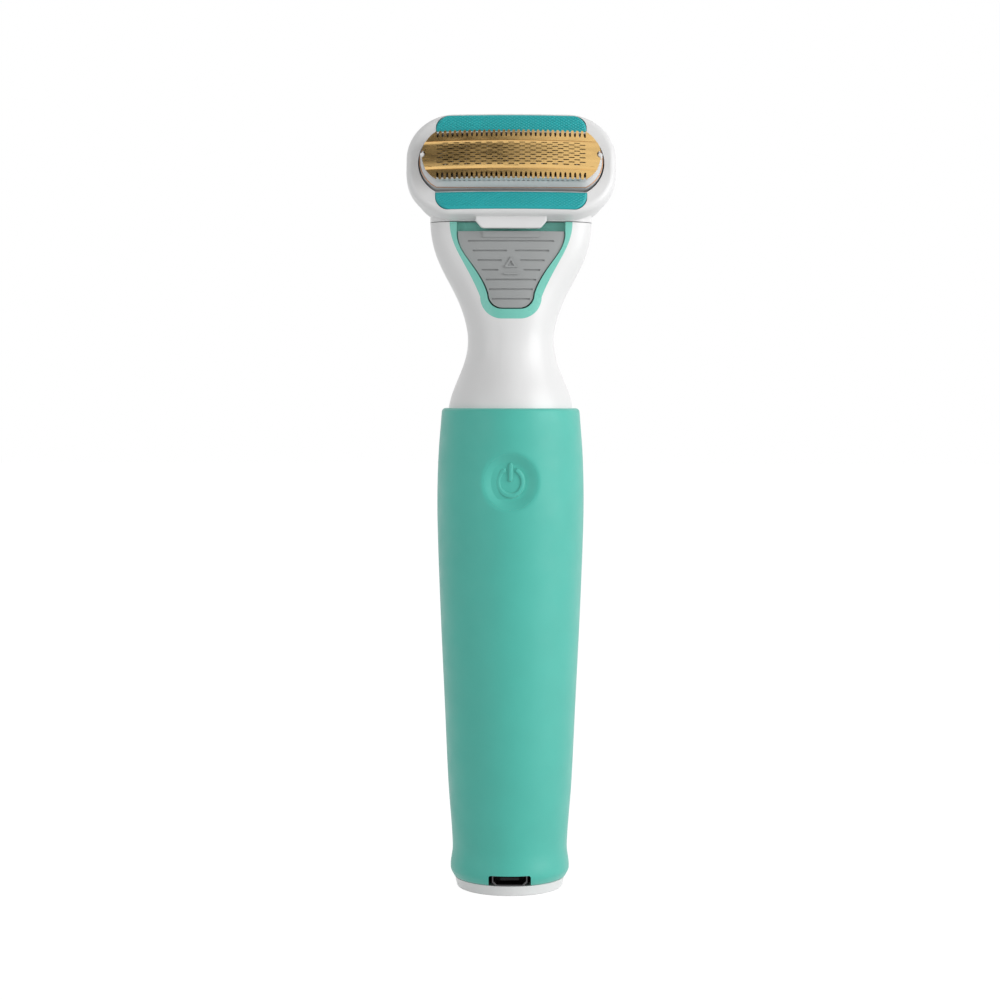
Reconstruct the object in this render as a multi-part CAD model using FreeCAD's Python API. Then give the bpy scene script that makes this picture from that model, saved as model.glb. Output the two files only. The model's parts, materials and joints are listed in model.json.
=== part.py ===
import FreeCAD, Part
import math
import os

# Cordless foil body shaver. It stands on its flat base cap at the origin, +Z runs up the handle
# to the head, and the foil faces the front, -Y. All sizes are in millimetres.

V = FreeCAD.Vector
X_AXIS = V(1, 0, 0)
Y_AXIS = V(0, 1, 0)
Z_AXIS = V(0, 0, 1)
FAR = 60.0                       # longer than any cut needs to reach

# ---- Driving sizes: grip and base -------------------------------------------------------
cap_height = 2.2
cap_base_radius = 11.4
cap_top_radius = 11.9
cap_edge = 0.4                   # rounding of the cap's lower edge
grip_length = 101.4
grip_radius = 15.8               # at the fullest point
sleeve_wall = 1.5
core_wall = 1.6
neck_root_radius = 13.35         # where the neck leaves the grip
sleeve_top_round = 0.9
# share of the grip's length, and how much slimmer than the fullest radius the grip is there
grip_taper = [(0.065, 3.4), (0.20, 2.45), (0.38, 1.6), (0.55, 0.8), (0.72, 0.15), (0.81, 0.0),
              (0.90, 0.25)]
sleeve_seam_slim = 3.8           # the sleeve's lower rim at the cap
sleeve_flare_slim = 2.95         # the small flare just above it
sleeve_flare_height = 1.9
top_slim = 0.95                  # the sleeve's upper rim

# ---- Driving sizes: neck ----------------------------------------------------------------
neck_height = 39.4
neck_wall = 1.6
waist_width = 18.5
waist_depth = 18.0
neck_top_width = 34.6
neck_top_depth = 14.4
# share of the neck's height, then how far the half width and half depth have gone from the root
# to the waist (first list) and from the waist to the top (second list), and the squareness
root_to_waist = [(0.0, 0.0, 2.0), (0.10, 0.26, 2.0), (0.207, 0.68, 2.0), (0.344, 1.0, 2.1)]
waist_to_top = [(0.48, 0.08, 2.3), (0.642, 0.40, 2.5), (0.805, 0.80, 2.8), (0.914, 0.955, 3.0),
                (1.0, 1.0, 3.0)]
section_points = 32

# ---- Driving sizes: eject slider and its bezel ------------------------------------------
bezel_height = 20.5
bezel_half_top = 13.0
bezel_half_foot = 6.5
bezel_corner = 4.6               # rounding of the bezel's foot
bezel_floor = 0.8
pocket_depth = 3.2               # from the neck's front at its top to the pocket's floor
pocket_wall = 1.1
slider_margin = 1.75             # visible bezel beside the slider
slider_corner = 3.0              # rounding of the slider's foot
ledge_half = 6.0                 # catch ledge at the slider's top
ledge_height = 1.3
mark_rise = 0.28                 # ledge and mark in front of the slider's face
slider_gap = 0.25                # room round the slider in its bezel
slider_drop = 2.0                # slider's top below the neck's top
slider_foot_gap = 2.3            # visible bezel below the slider
slider_sink = 0.35               # slider's face behind the neck's face
groove_pitch = 2.05
groove_width = 0.35
groove_depth = 0.3
groove_count = 7

# ---- Driving sizes: power button --------------------------------------------------------
button_below_top = 15.4          # button centre below the grip's top
button_radius = 6.05
button_gap = 0.1
button_sink = 0.45
tab_reach = 1.4                  # retaining tabs beyond the button's edge
button_room = 2.25               # from the button's edge to the chassis's top
symbol_radius = 2.85             # middle of the ring's stroke
symbol_stroke = 1.1
symbol_rise = 0.3
symbol_bar = 4.2
symbol_gap_angle = 33.0

# ---- Driving sizes: charging inlet ------------------------------------------------------
inlet_width = 9.0
inlet_height = 2.35
socket_width = 7.5
socket_height = 2.3
socket_depth = 5.6
socket_wall = 0.25

# ---- Driving sizes: inside the grip -----------------------------------------------------
battery_radius = 7.0
battery_length = 49.0
battery_back = 1.6               # battery axis behind the handle's axis
chassis_plate = 1.1
chassis_shelf = 1.2
board_thickness = 1.2
board_length = 35.0
board_width = 14.0
wire_radius = 0.5
seat = 0.3                       # rest gap between a piece and what carries it
fit = 0.1                        # gap between a spigot and its bore

# ---- Driving sizes: motor and drive -----------------------------------------------------
motor_radius = 6.0
motor_length = 17.0
motor_wall = 0.6
shaft_radius = 0.75
crank_radius = 1.2
crank_pin_radius = 0.8
crank_disc_radius = 2.3
lever_below_top = 5.5            # lever pivot below the neck's top
lower_arm = 10.0
finger_length = 15.1
lever_depth = 3.0                # front to back
lever_front = -2.0
pivot_pin_radius = 1.0
running_gap = 0.05
fork_gap = 0.15

# ---- Driving sizes: head ----------------------------------------------------------------
head_tilt = 20.0                 # degrees, the foil leans back
head_front = 7.0                 # face centre in front of the handle's axis
head_rise = 12.7                 # face centre above the neck's top
head_width = 44.4
head_height = 23.2
head_corner = 10.0
head_arch = 1.0                  # the face's middle stands this far in front of its ends
frame_depth = 4.4
frame_round = 1.5
head_depth = 11.5
head_wall = 1.6
housing_inset = 1.2
window_side_gap = 0.9            # the window's room beside the foil's ends
window_long_gap = 1.3            # the window's room along the foil's long sides
window_corner_gap = 0.3
strip_margin = 0.7               # frame visible outside a cushion strip
strip_half_outer = 13.2
strip_half_inner = 16.0
strip_depth = 1.2
tongue_drop = 1.5
tongue_half_foot = 6.2
tongue_half_top = 7.5
tongue_thickness = 1.2
tongue_corner = 1.0
tongue_edge = 0.35
parting = 0.15

# ---- Driving sizes: foil cassette -------------------------------------------------------
foil_half_width = 18.8
foil_half_height = 5.6
foil_end_arc = 3.2               # the foil's arched ends stand out by this much
foil_proud = 2.5                 # foil flange in front of the head's face
foil_thickness = 0.25
band_half_height = 3.2
band_rise = 0.8
comb_pitch = 1.03
comb_slot_width = 0.5
comb_slot_length = 1.5
notch_radius = 0.7
cassette_wall = 0.9
pad_inset = 2.6                  # spring pads' inner edges inside the foil's ends
spring_inset = 1.8               # foil springs' axes inside the foil's ends
cassette_depth = 6.1
blade_pitch = 1.45
blade_thickness = 0.3
blade_gap = 0.12
carrier_margin = 1.2             # carrier's ends inside the foil's corners
carrier_inset = 1.3              # carrier's long sides inside the foil's
blade_end_margin = 0.3           # carrier beyond its outermost blades
carrier_front = 1.0
carrier_thickness = 2.2
prong_gap = 0.3
prong_reach = 8.4

# ---- Derived places ---------------------------------------------------------------------
grip_bottom = cap_height
grip_top = grip_bottom + grip_length
neck_top = grip_top + neck_height
button_z = grip_top - button_below_top
pocket_floor_y = -(neck_top_depth / 2 - pocket_depth)
pocket_back_y = pocket_floor_y + pocket_wall
head_bottom = neck_top + parting
pivot_z = neck_top - lever_below_top
crank_mid_z = pivot_z - lower_arm
plate_back_y = battery_back - battery_radius - 0.1
plate_front_y = plate_back_y - chassis_plate
wire_y = plate_front_y - wire_radius - 0.1
socket_bottom = cap_height + 0.02
socket_top = socket_bottom + socket_height
spigot_top = 7.2
chassis_bottom = spigot_top + seat
battery_bottom = chassis_bottom + chassis_shelf + 0.6
battery_top = battery_bottom + battery_length
top_shelf_z = battery_top + 0.9
board_bottom = top_shelf_z + chassis_shelf + 0.6
board_top = board_bottom + board_length
chassis_top = button_z + button_radius + button_room
bracket_bottom = chassis_top + seat
can_bottom = grip_top - 0.6
can_top = can_bottom + motor_length
cam_bottom = can_top + 1.6
cam_top = cam_bottom + 2.4
foil_corner_x = foil_half_width - foil_end_arc
window_half_width = foil_half_width + window_side_gap
window_half_height = foil_half_height + window_long_gap
window_corner_x = foil_corner_x + window_corner_gap
strip_edge = head_height / 2 - strip_margin
comb_slots = 2 * int(foil_corner_x / comb_pitch) + 1
carrier_half_width = foil_corner_x - carrier_margin
carrier_half_height = foil_half_height - carrier_inset
blade_count = int(2 * (carrier_half_width - blade_end_margin) / blade_pitch) + 1
spring_x = foil_half_width - spring_inset


def box(x0, x1, y0, y1, z0, z1):
    """Box between two opposite corners."""
    return Part.makeBox(x1 - x0, y1 - y0, z1 - z0, V(x0, y0, z0))


def rod(radius, start, axis, length):
    """Cylinder from a start point along an axis."""
    return Part.makeCylinder(radius, length, start, axis)


def tube(outer, inner, start, axis, length):
    """Round tube from a start point along an axis."""
    return rod(outer, start, axis, length).cut(rod(inner, start, axis, length))


def joined(shapes):
    """One clean solid out of overlapping or touching solids."""
    whole = shapes[0]
    for shape in shapes[1:]:
        whole = whole.fuse(shape)
    return whole.removeSplitter()


def prism(wire, direction):
    """Solid swept straight from a flat closed wire."""
    return Part.Face(wire).extrude(direction)


def smooth(points):
    """One smooth edge through points."""
    curve = Part.BSplineCurve()
    curve.interpolate(points)
    return curve.toShape()


def closed_smooth(points):
    """One smooth closed wire through points."""
    curve = Part.BSplineCurve()
    curve.interpolate(Points=points, PeriodicFlag=True)
    return Part.Wire([curve.toShape()])


# ---- Grip -------------------------------------------------------------------------------
def core_points():
    """Half section of the core's outside: radius and height, from the cap to the neck."""
    points = [V(grip_radius - grip_taper[0][1] - sleeve_wall, 0, grip_bottom)]
    for share, slim in grip_taper:
        points.append(V(grip_radius - slim - sleeve_wall, 0, grip_bottom + share * grip_length))
    points.append(V(neck_root_radius, 0, grip_top))
    return points


def sleeve_points():
    """Half section of the sleeve's outside, from its lower rim to its upper rounding."""
    points = [V(grip_radius - sleeve_seam_slim, 0, grip_bottom),
              V(grip_radius - sleeve_flare_slim, 0, grip_bottom + sleeve_flare_height)]
    for share, slim in grip_taper:
        points.append(V(grip_radius - slim, 0, grip_bottom + share * grip_length))
    points.append(V(grip_radius - top_slim, 0, grip_top - sleeve_top_round))
    return points


def turned(edges):
    """Solid of revolution about the handle's axis from the edges of a half section."""
    return Part.Face(Part.Wire(Part.__sortEdges__(edges))).revolve(V(0, 0, 0), Z_AXIS, 360)


def filled_turn(points):
    """Solid of revolution below a smooth outline."""
    low = points[0]
    high = points[-1]
    low_axis = V(0, 0, low.z)
    high_axis = V(0, 0, high.z)
    return turned([smooth(points), Part.makeLine(high, high_axis),
                   Part.makeLine(high_axis, low_axis), Part.makeLine(low_axis, low)])


def grip_solid():
    """The whole grip outside, sleeve included."""
    points = sleeve_points()
    shoulder = points[-1]
    rim = V(shoulder.x - sleeve_top_round, 0, grip_top)
    bulge = sleeve_top_round * math.sqrt(0.5)
    middle = V(shoulder.x - sleeve_top_round + bulge, 0, shoulder.z + bulge)
    top_axis = V(0, 0, grip_top)
    low_axis = V(0, 0, grip_bottom)
    return turned([smooth(points), Part.Arc(shoulder, middle, rim).toShape(),
                   Part.makeLine(rim, top_axis), Part.makeLine(top_axis, low_axis),
                   Part.makeLine(low_axis, points[0])])


def button_bore(radius):
    """Round cut for the button, through the front wall only."""
    return rod(radius, V(0, -FAR, button_z), Y_AXIS, FAR)


def inlet_window(depth):
    """Cut for the charging inlet, through the front wall only."""
    return box(-inlet_width / 2, inlet_width / 2, -FAR, -depth,
               grip_bottom - 1, grip_bottom + inlet_height)


def core_inside_radius(height):
    """Radius inside the core tube at a height, read along its straight chords."""
    points = core_points()
    for low, high in zip(points, points[1:]):
        if height <= high.z:
            share = (height - low.z) / (high.z - low.z)
            return low.x + share * (high.x - low.x) - core_wall
    return points[-1].x - core_wall


def grip_sleeve():
    """Soft overmould round the core, open at the button and the inlet."""
    sleeve = grip_solid().cut(filled_turn(core_points()))
    return sleeve.cut(button_bore(button_radius)).cut(inlet_window(0))


def core_bore():
    """The space inside the core tube."""
    points = []
    for point in core_points():
        points.append(V(point.x - core_wall, 0, point.z))
    return filled_turn(points)


def grip_core():
    """Hard tube under the sleeve."""
    core = filled_turn(core_points()).cut(core_bore())
    return core.cut(button_bore(button_radius)).cut(inlet_window(0))


spigot_radius = core_inside_radius(cap_height) - fit


def base_cap():
    """Round cap with a spigot, a window for the inlet and two posts under the charging board."""
    foot = Part.makeCone(cap_base_radius, cap_top_radius, cap_height)
    foot = foot.makeFillet(cap_edge, [e for e in foot.Edges if e.BoundBox.ZMax < 0.01])
    spigot = tube(spigot_radius, spigot_radius - 1.2, V(0, 0, cap_height - 0.5), Z_AXIS,
                  spigot_top - cap_height + 0.5)
    window = box(-inlet_width / 2, inlet_width / 2, -FAR, -spigot_radius / 2,
                 cap_height, cap_height + inlet_height + 1.5)
    posts = [rod(1.2, V(side * 3.5, 3.0, cap_height - 0.5), Z_AXIS,
                 socket_top - cap_height + 0.5) for side in (-1, 1)]
    return joined([foot, spigot.cut(window)] + posts)


# ---- Power button -----------------------------------------------------------------------
def symbol():
    """Ring with a gap at its top and a bar through the gap, as a prism through the grip."""
    outer = symbol_radius + symbol_stroke / 2
    inner = symbol_radius - symbol_stroke / 2
    start = V(0, -FAR, button_z)
    ring = tube(outer, inner, start, Y_AXIS, FAR)
    reach = outer * 2
    swing = reach * math.tan(math.radians(symbol_gap_angle))
    wedge = Part.makePolygon([start, start + V(-swing, 0, reach), start + V(swing, 0, reach),
                              start])
    ring = ring.cut(prism(wedge, V(0, FAR, 0)))
    half = symbol_stroke / 2
    bar_top = button_z + symbol_bar
    bar = box(-half, half, -FAR, 0, button_z + half, bar_top - half)
    ends = [rod(half, V(0, -FAR, z), Y_AXIS, FAR) for z in (button_z + half, bar_top - half)]
    return ring, joined([bar] + ends)


def pad_back_y():
    """Where the pad ends and the hard plunger begins."""
    return -(grip_radius - sleeve_wall - 0.9)


def button_pad():
    """Soft pad with a raised ring and bar."""
    outside = grip_solid()
    body = button_bore(button_radius - button_gap).cut(box(-FAR, FAR, pad_back_y(), FAR, 0, FAR * 3))
    skin = body.common(outside.translated(V(0, button_sink, 0)))
    raised = outside.translated(V(0, button_sink - symbol_rise, 0))
    ring, bar = symbol()
    marks = [mark.cut(box(-FAR, FAR, pad_back_y() - 0.4, FAR, 0, FAR * 3)).common(raised)
             for mark in (ring, bar)]
    return joined([skin] + marks)


flange_front_y = -(core_inside_radius(button_z) - 1.0)
flange_back_y = flange_front_y + 0.6


def button_plunger():
    """Hard plunger behind the pad, with two tabs that stop it from falling out."""
    stem = rod(button_radius - 0.45, V(0, pad_back_y(), button_z), Y_AXIS,
               flange_back_y - pad_back_y())
    tabs = box(-4.0, 4.0, flange_front_y, flange_back_y,
               button_z - button_radius - tab_reach, button_z + button_radius + tab_reach)
    return joined([stem, tabs])


switch_front_y = flange_back_y + 0.9
board_front_y = plate_front_y - board_thickness


def tact_switch():
    """Square switch on the main board, bored for its stem."""
    body = box(-3.0, 3.0, switch_front_y, board_front_y, button_z - 3.0, button_z + 3.0)
    return body.cut(rod(1.8, V(0, switch_front_y, button_z), Y_AXIS, 1.3))


def switch_stem():
    """Stem of the switch, touching the plunger."""
    return rod(1.7, V(0, flange_back_y, button_z), Y_AXIS, 1.4)


# ---- Charging inlet ---------------------------------------------------------------------
socket_mouth_y = -(grip_radius - sleeve_seam_slim - 0.6)


def usb_profile(shrink):
    """Inlet outline in the X-Z plane, with its two lower corners cut off."""
    half = socket_width / 2 - shrink
    low = socket_bottom + shrink
    high = socket_top - shrink
    corner = 0.8
    points = [V(-half, socket_mouth_y, high), V(half, socket_mouth_y, high),
              V(half, socket_mouth_y, low + corner), V(half - corner, socket_mouth_y, low),
              V(-half + corner, socket_mouth_y, low), V(-half, socket_mouth_y, low + corner)]
    return Part.makePolygon(points + [points[0]])


def usb_shell():
    """Folded steel shell of the micro inlet."""
    outside = prism(usb_profile(0), V(0, socket_depth, 0))
    return outside.cut(prism(usb_profile(socket_wall), V(0, socket_depth, 0)))


def usb_insert():
    """Moulded insert: a back block and the contact tongue."""
    back_y = socket_mouth_y + socket_depth
    inside = prism(usb_profile(socket_wall), V(0, socket_depth, 0))
    block = inside.common(box(-FAR, FAR, back_y - 1.2, back_y, 0, FAR))
    tongue = box(-2.0, 2.0, socket_mouth_y + 0.9, back_y - 1.0, socket_top - 1.25,
                 socket_top - 0.65)
    return joined([block, tongue])


def charging_board():
    """Round board that lies on the inlet and on the cap's posts."""
    disc = rod(spigot_radius - 1.3, V(0, 0, socket_top), Z_AXIS, 1.0)
    return disc.cut(box(-FAR, FAR, 5.2, FAR, 0, FAR))


# ---- Chassis, battery and board ---------------------------------------------------------
def chassis():
    """Plate between battery and board, with a shelf at each end of the battery."""
    plate = box(-6.0, 6.0, plate_front_y, plate_back_y, chassis_bottom, chassis_top)
    shelves = [rod(battery_radius + 0.4, V(0, battery_back, z), Z_AXIS, chassis_shelf)
               .cut(box(-FAR, FAR, -FAR, plate_front_y, 0, FAR * 2))
               for z in (chassis_bottom, top_shelf_z)]
    ribs = [box(side * 5.5 - 0.5, side * 5.5 + 0.5, plate_back_y - 0.1, battery_back,
                top_shelf_z, chassis_top) for side in (-1, 1)]
    low_notch = box(-1.2, 1.2, plate_front_y, plate_back_y, chassis_bottom + chassis_shelf,
                    chassis_bottom + chassis_shelf + 0.6)
    high_notch = box(3.4, 5.6, plate_front_y, plate_back_y, top_shelf_z - 0.7, top_shelf_z)
    screw_bores = [rod(0.6, V(x, plate_front_y, z), Y_AXIS, chassis_plate)
                   for x, z in board_screw_places()]
    frame = joined([plate] + shelves + ribs)
    for cut in [low_notch, high_notch] + screw_bores:
        frame = frame.cut(cut)
    return frame


def battery():
    """Round lithium cell with its raised positive button."""
    axis = V(0, battery_back, battery_bottom)
    can = rod(battery_radius, axis, Z_AXIS, battery_length)
    can = can.makeFillet(0.6, [e for e in can.Edges if e.Curve.TypeId == "Part::GeomCircle"])
    button = rod(2.8, axis + V(0, 0, battery_length - 0.1), Z_AXIS, 0.5)
    return joined([can, button])


def battery_tabs():
    """Nickel strips from the two ends of the cell to the front of the chassis."""
    low_z = chassis_bottom + chassis_shelf
    low_tab = box(-1.0, 1.0, wire_y - wire_radius, battery_back + 3, low_z + 0.2, low_z + 0.5)
    high_z = top_shelf_z - 0.4
    high_tab = box(3.6, 5.4, board_front_y, battery_back + 2, high_z, high_z + 0.25)
    reach = box(-1.8, 3.6, battery_back - 1, battery_back + 2, high_z, high_z + 0.25)
    riser = box(3.6, 5.4, board_front_y, board_front_y + 0.3, high_z, board_bottom)
    return [low_tab, joined([high_tab, reach, riser])]


def battery_lead():
    """Lead from the low tab to the main board."""
    start = V(0, wire_y, chassis_bottom + chassis_shelf + 0.5)
    return rod(wire_radius, start, Z_AXIS, board_bottom - start.z)


def charge_wires():
    """Pair of wires from the charging board to the main board."""
    start = socket_top + 1.0
    return [rod(wire_radius, V(side * 2.0, wire_y, start), Z_AXIS, board_bottom - start)
            for side in (-1, 1)]


def board_screw_places():
    """Screws at two opposite corners of the main board."""
    inset = 2.0
    return [(-4.6, board_bottom + inset), (4.6, board_top - inset)]


def main_board():
    """Control board on the chassis plate."""
    board = box(-board_width / 2, board_width / 2, board_front_y, plate_front_y,
                board_bottom, board_top)
    for x, z in board_screw_places():
        board = board.cut(rod(0.6, V(x, board_front_y, z), Y_AXIS, board_thickness))
    return board


def board_parts():
    """Charge chip, capacitor and connector on the board's front."""
    low = board_bottom
    chip = box(-2.5, 2.5, board_front_y - 1.0, board_front_y, low + 3.5, low + 8.5)
    coil = rod(2.2, V(0, board_front_y - 1.6, low + 13.0), Y_AXIS, 1.6)
    plug = box(-3.4, 3.4, board_front_y - 1.8, board_front_y, board_top - 4.5, board_top - 0.8)
    return [chip, coil, plug]


def board_screws():
    """Two pan-head screws that hold the board."""
    screws = []
    for x, z in board_screw_places():
        head = rod(1.1, V(x, board_front_y - 0.7, z), Y_AXIS, 0.7)
        shank = rod(0.6, V(x, board_front_y - 0.1, z), Y_AXIS, board_thickness + chassis_plate)
        screws.append(joined([head, shank]))
    return screws


# ---- Neck -------------------------------------------------------------------------------
def neck_stations():
    """Height, half width, half depth and squareness of each neck section."""
    stations = []
    for share, gone, power in root_to_waist:
        half_width = neck_root_radius + gone * (waist_width / 2 - neck_root_radius)
        half_depth = neck_root_radius + gone * (waist_depth / 2 - neck_root_radius)
        stations.append((grip_top + share * neck_height, half_width, half_depth, power))
    for share, gone, power in waist_to_top:
        half_width = waist_width / 2 + gone * (neck_top_width - waist_width) / 2
        half_depth = waist_depth / 2 + gone * (neck_top_depth - waist_depth) / 2
        stations.append((grip_top + share * neck_height, half_width, half_depth, power))
    return stations


def oval(half_width, half_depth, power, height):
    """Superellipse in a horizontal plane."""
    points = []
    for step in range(section_points):
        angle = 2 * math.pi * step / section_points
        cosine = math.cos(angle)
        sine = math.sin(angle)
        x = math.copysign(half_width * abs(cosine) ** (2 / power), cosine)
        y = math.copysign(half_depth * abs(sine) ** (2 / power), sine)
        points.append(V(x, y, height))
    return closed_smooth(points)


def neck_solid(inset):
    """Neck outside moved inward by an inset."""
    wires = []
    for height, half_width, half_depth, power in neck_stations():
        wires.append(oval(half_width - inset, half_depth - inset, power, height))
    return Part.makeLoft(wires, True, False)


def shield(half_top, half_foot, top_z, foot_z, y, corner):
    """Shield outline in the X-Z plane: open-sided top, sides drawn in, rounded foot."""
    drop = top_z - foot_z
    right = [V(half_top, y, top_z), V(half_top - 0.035 * drop, y, top_z - 0.20 * drop),
             V(half_foot + 0.55 * (half_top - half_foot), y, top_z - 0.42 * drop),
             V(half_foot + 0.20 * (half_top - half_foot), y, top_z - 0.63 * drop),
             V(half_foot, y, foot_z + corner)]
    left = [V(-p.x, p.y, p.z) for p in reversed(right)]
    foot_right = V(half_foot - corner, y, foot_z)
    foot_left = V(corner - half_foot, y, foot_z)
    bend = corner * (1 - math.sqrt(0.5))
    right_arc = Part.Arc(right[-1], V(half_foot - bend, y, foot_z + bend), foot_right).toShape()
    left_arc = Part.Arc(foot_left, V(bend - half_foot, y, foot_z + bend), left[0]).toShape()
    return Part.Wire([smooth(right), right_arc, Part.makeLine(foot_right, foot_left), left_arc,
                      smooth(left), Part.makeLine(left[-1], right[0])])


def bezel_outline(grow, y):
    """Bezel outline grown outward, running out past the neck's top."""
    return shield(bezel_half_top + grow, bezel_half_foot + grow, neck_top,
                  neck_top - bezel_height - grow, y, bezel_corner)


def slider_outline(grow, top_z, y):
    """Slider outline grown outward."""
    return shield(bezel_half_top - slider_margin + grow, bezel_half_foot - slider_margin + grow,
                  top_z, neck_top - bezel_height + slider_foot_gap - grow, y, slider_corner)


def bearing_boss(y0, y1):
    """Boss round the lever's pin."""
    return rod(2.2, V(0, y0, pivot_z), Y_AXIS, y1 - y0)


pin_front_y = pocket_back_y - 0.8
pin_back_y = lever_front + lever_depth + 3.4


def neck_shell():
    """Both halves of the neck as one hollow body, before it is split."""
    outside = neck_solid(0)
    backing = prism(bezel_outline(neck_wall, -FAR), V(0, FAR + pocket_back_y, 0))
    roof = box(-FAR, FAR, -FAR, FAR, neck_top - neck_wall, neck_top + FAR)
    hollow = neck_solid(neck_wall).cut(backing).cut(roof)
    plug_radius = core_inside_radius(grip_top) - fit
    plug = tube(plug_radius, plug_radius - 1.4, V(0, 0, chassis_top + 0.3), Z_AXIS,
                grip_top - chassis_top + 0.7)
    tower = prism(oval(13.0, 3.8, 3.0, neck_top - 0.5), V(0, 0, 4.0))
    front_boss = bearing_boss(pocket_back_y - 0.2, lever_front - 0.2)
    rear_boss = bearing_boss(lever_front + lever_depth + 0.2, neck_top_depth / 2 - neck_wall / 2)
    shell = joined([outside.cut(hollow), plug, tower, front_boss, rear_boss])
    pocket = prism(bezel_outline(0, -FAR), V(0, FAR + pocket_floor_y, 0))
    finger_slot = box(-2.7, 2.7, lever_front - 0.5, lever_front + lever_depth + 0.5,
                      neck_top - neck_wall - 0.1, neck_top + FAR)
    pin_bore = rod(pivot_pin_radius, V(0, pin_front_y, pivot_z), Y_AXIS,
                   pin_back_y - pin_front_y)
    return shell.cut(pocket).cut(finger_slot).cut(pin_bore)


def neck_halves(shell):
    """Front and rear neck shells, parted along the handle's sides."""
    front_half = box(-FAR, FAR, -FAR, 0, 0, FAR * 4)
    rear_half = box(-FAR, FAR, 0, FAR, 0, FAR * 4)
    return shell.common(front_half), shell.common(rear_half)


# ---- Eject slider -----------------------------------------------------------------------
spring_foot_z = neck_top - bezel_height + slider_foot_gap + 2.0
spring_length = 7.0
spring_radius = 1.0
slider_back_y = pocket_floor_y - bezel_floor - 0.15


def slider_bezel():
    """Coloured tray in the neck's pocket, with a post for the slider's spring."""
    prism_y = V(0, FAR + pocket_floor_y, 0)
    block = prism(bezel_outline(0, -FAR), prism_y).common(neck_solid(0))
    slider_top = neck_top - slider_drop
    front_y = pocket_floor_y - bezel_floor
    room = prism(slider_outline(slider_gap, slider_top + slider_gap, -FAR),
                 V(0, FAR + front_y, 0))
    half = bezel_half_top - slider_margin + slider_gap
    mouth = box(-half, half, -FAR, front_y, slider_top, neck_top + 1.0)
    post_z = spring_foot_z + spring_length
    post = box(-1.1, 1.1, slider_back_y - 1.4, pocket_floor_y - bezel_floor / 2, post_z,
               post_z + 1.0)
    return joined([block.cut(room).cut(mouth), post])


def groove_cuts():
    """Level grooves over the slider, broken round the mark in the middle."""
    cuts = []
    first = neck_top - slider_drop - groove_pitch
    open_half = {1: 0.9, 2: 2.0, 3: 2.7}
    for row in range(groove_count):
        z = first - row * groove_pitch
        half = grooves_half_width(z)
        gap = open_half.get(row, 0)
        pieces = [(-half, -gap), (gap, half)] if gap else [(-half, half)]
        for x0, x1 in pieces:
            cuts.append(box(x0, x1, -FAR, 0, z - groove_width / 2, z + groove_width / 2))
    return cuts


def grooves_half_width(z):
    """Half length of a groove: the slider's outline less a margin."""
    top = bezel_half_top - slider_margin
    foot = bezel_half_foot - slider_margin
    share = (neck_top - slider_drop - z) / (bezel_height - slider_foot_gap - slider_drop)
    return foot + (top - foot) * (1 - share) ** 1.35 - 1.1


def slider_mark(height):
    """Raised outline triangle with a bar below it, as a prism."""
    apex = V(0, -FAR, height + 1.2)
    left = V(-1.4, -FAR, height - 1.1)
    right = V(1.4, -FAR, height - 1.1)
    outer = prism(Part.makePolygon([apex, left, right, apex]), V(0, FAR, 0))
    shrink = FreeCAD.Matrix()
    shrink.scale(V(0.5, 1, 0.5))
    middle = V(0, 0, height - 0.4)
    inner = outer.translated(middle.negative()).transformGeometry(shrink).translated(middle)
    bar = box(-1.5, 1.5, -FAR, 0, height - 2.6, height - 2.25)
    return [outer.cut(inner), bar]


def eject_slider():
    """Ribbed thumb slider with a catch ledge at its top and a spring pocket in its back."""
    block = prism(slider_outline(0, neck_top - slider_drop, -FAR), V(0, FAR + slider_back_y, 0))
    outside = neck_solid(0)
    plate = block.common(outside.translated(V(0, slider_sink, 0)))
    bottom = block.common(outside.translated(V(0, slider_sink + groove_depth, 0)))
    for cut in groove_cuts():
        plate = plate.cut(cut)
    raised = block.common(outside.translated(V(0, slider_sink - mark_rise, 0)))
    ledge_top = neck_top - slider_drop
    ledge = box(-ledge_half, ledge_half, -FAR, 0, ledge_top - ledge_height, ledge_top)
    ledge = ledge.common(raised)
    mark_z = neck_top - slider_drop - 3.2 * groove_pitch
    marks = [mark.common(raised) for mark in slider_mark(mark_z)]
    room = box(-1.4, 1.4, slider_back_y - 1.7, 0, spring_foot_z,
               spring_foot_z + spring_length + 1.4)
    return joined([plate, bottom, ledge] + marks).cut(room)


def slider_spring():
    """Return spring in the slider's back, pressed as the slider goes up."""
    return coil_spring(spring_radius * 0.7, 0.15, V(0, slider_back_y - 0.85, spring_foot_z),
                       spring_length, 7)


def coil_spring(radius, wire, start, length, turns):
    """Coil spring standing on a start point."""
    pitch = (length - 2 * wire) / turns
    helix = Part.makeHelix(pitch, length - 2 * wire, radius)
    ring = Part.Wire([Part.makeCircle(wire, V(radius, 0, 0), Y_AXIS)])
    coil = Part.Wire(helix).makePipeShell([ring], True, True)
    return coil.translated(start + V(0, 0, wire))


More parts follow.
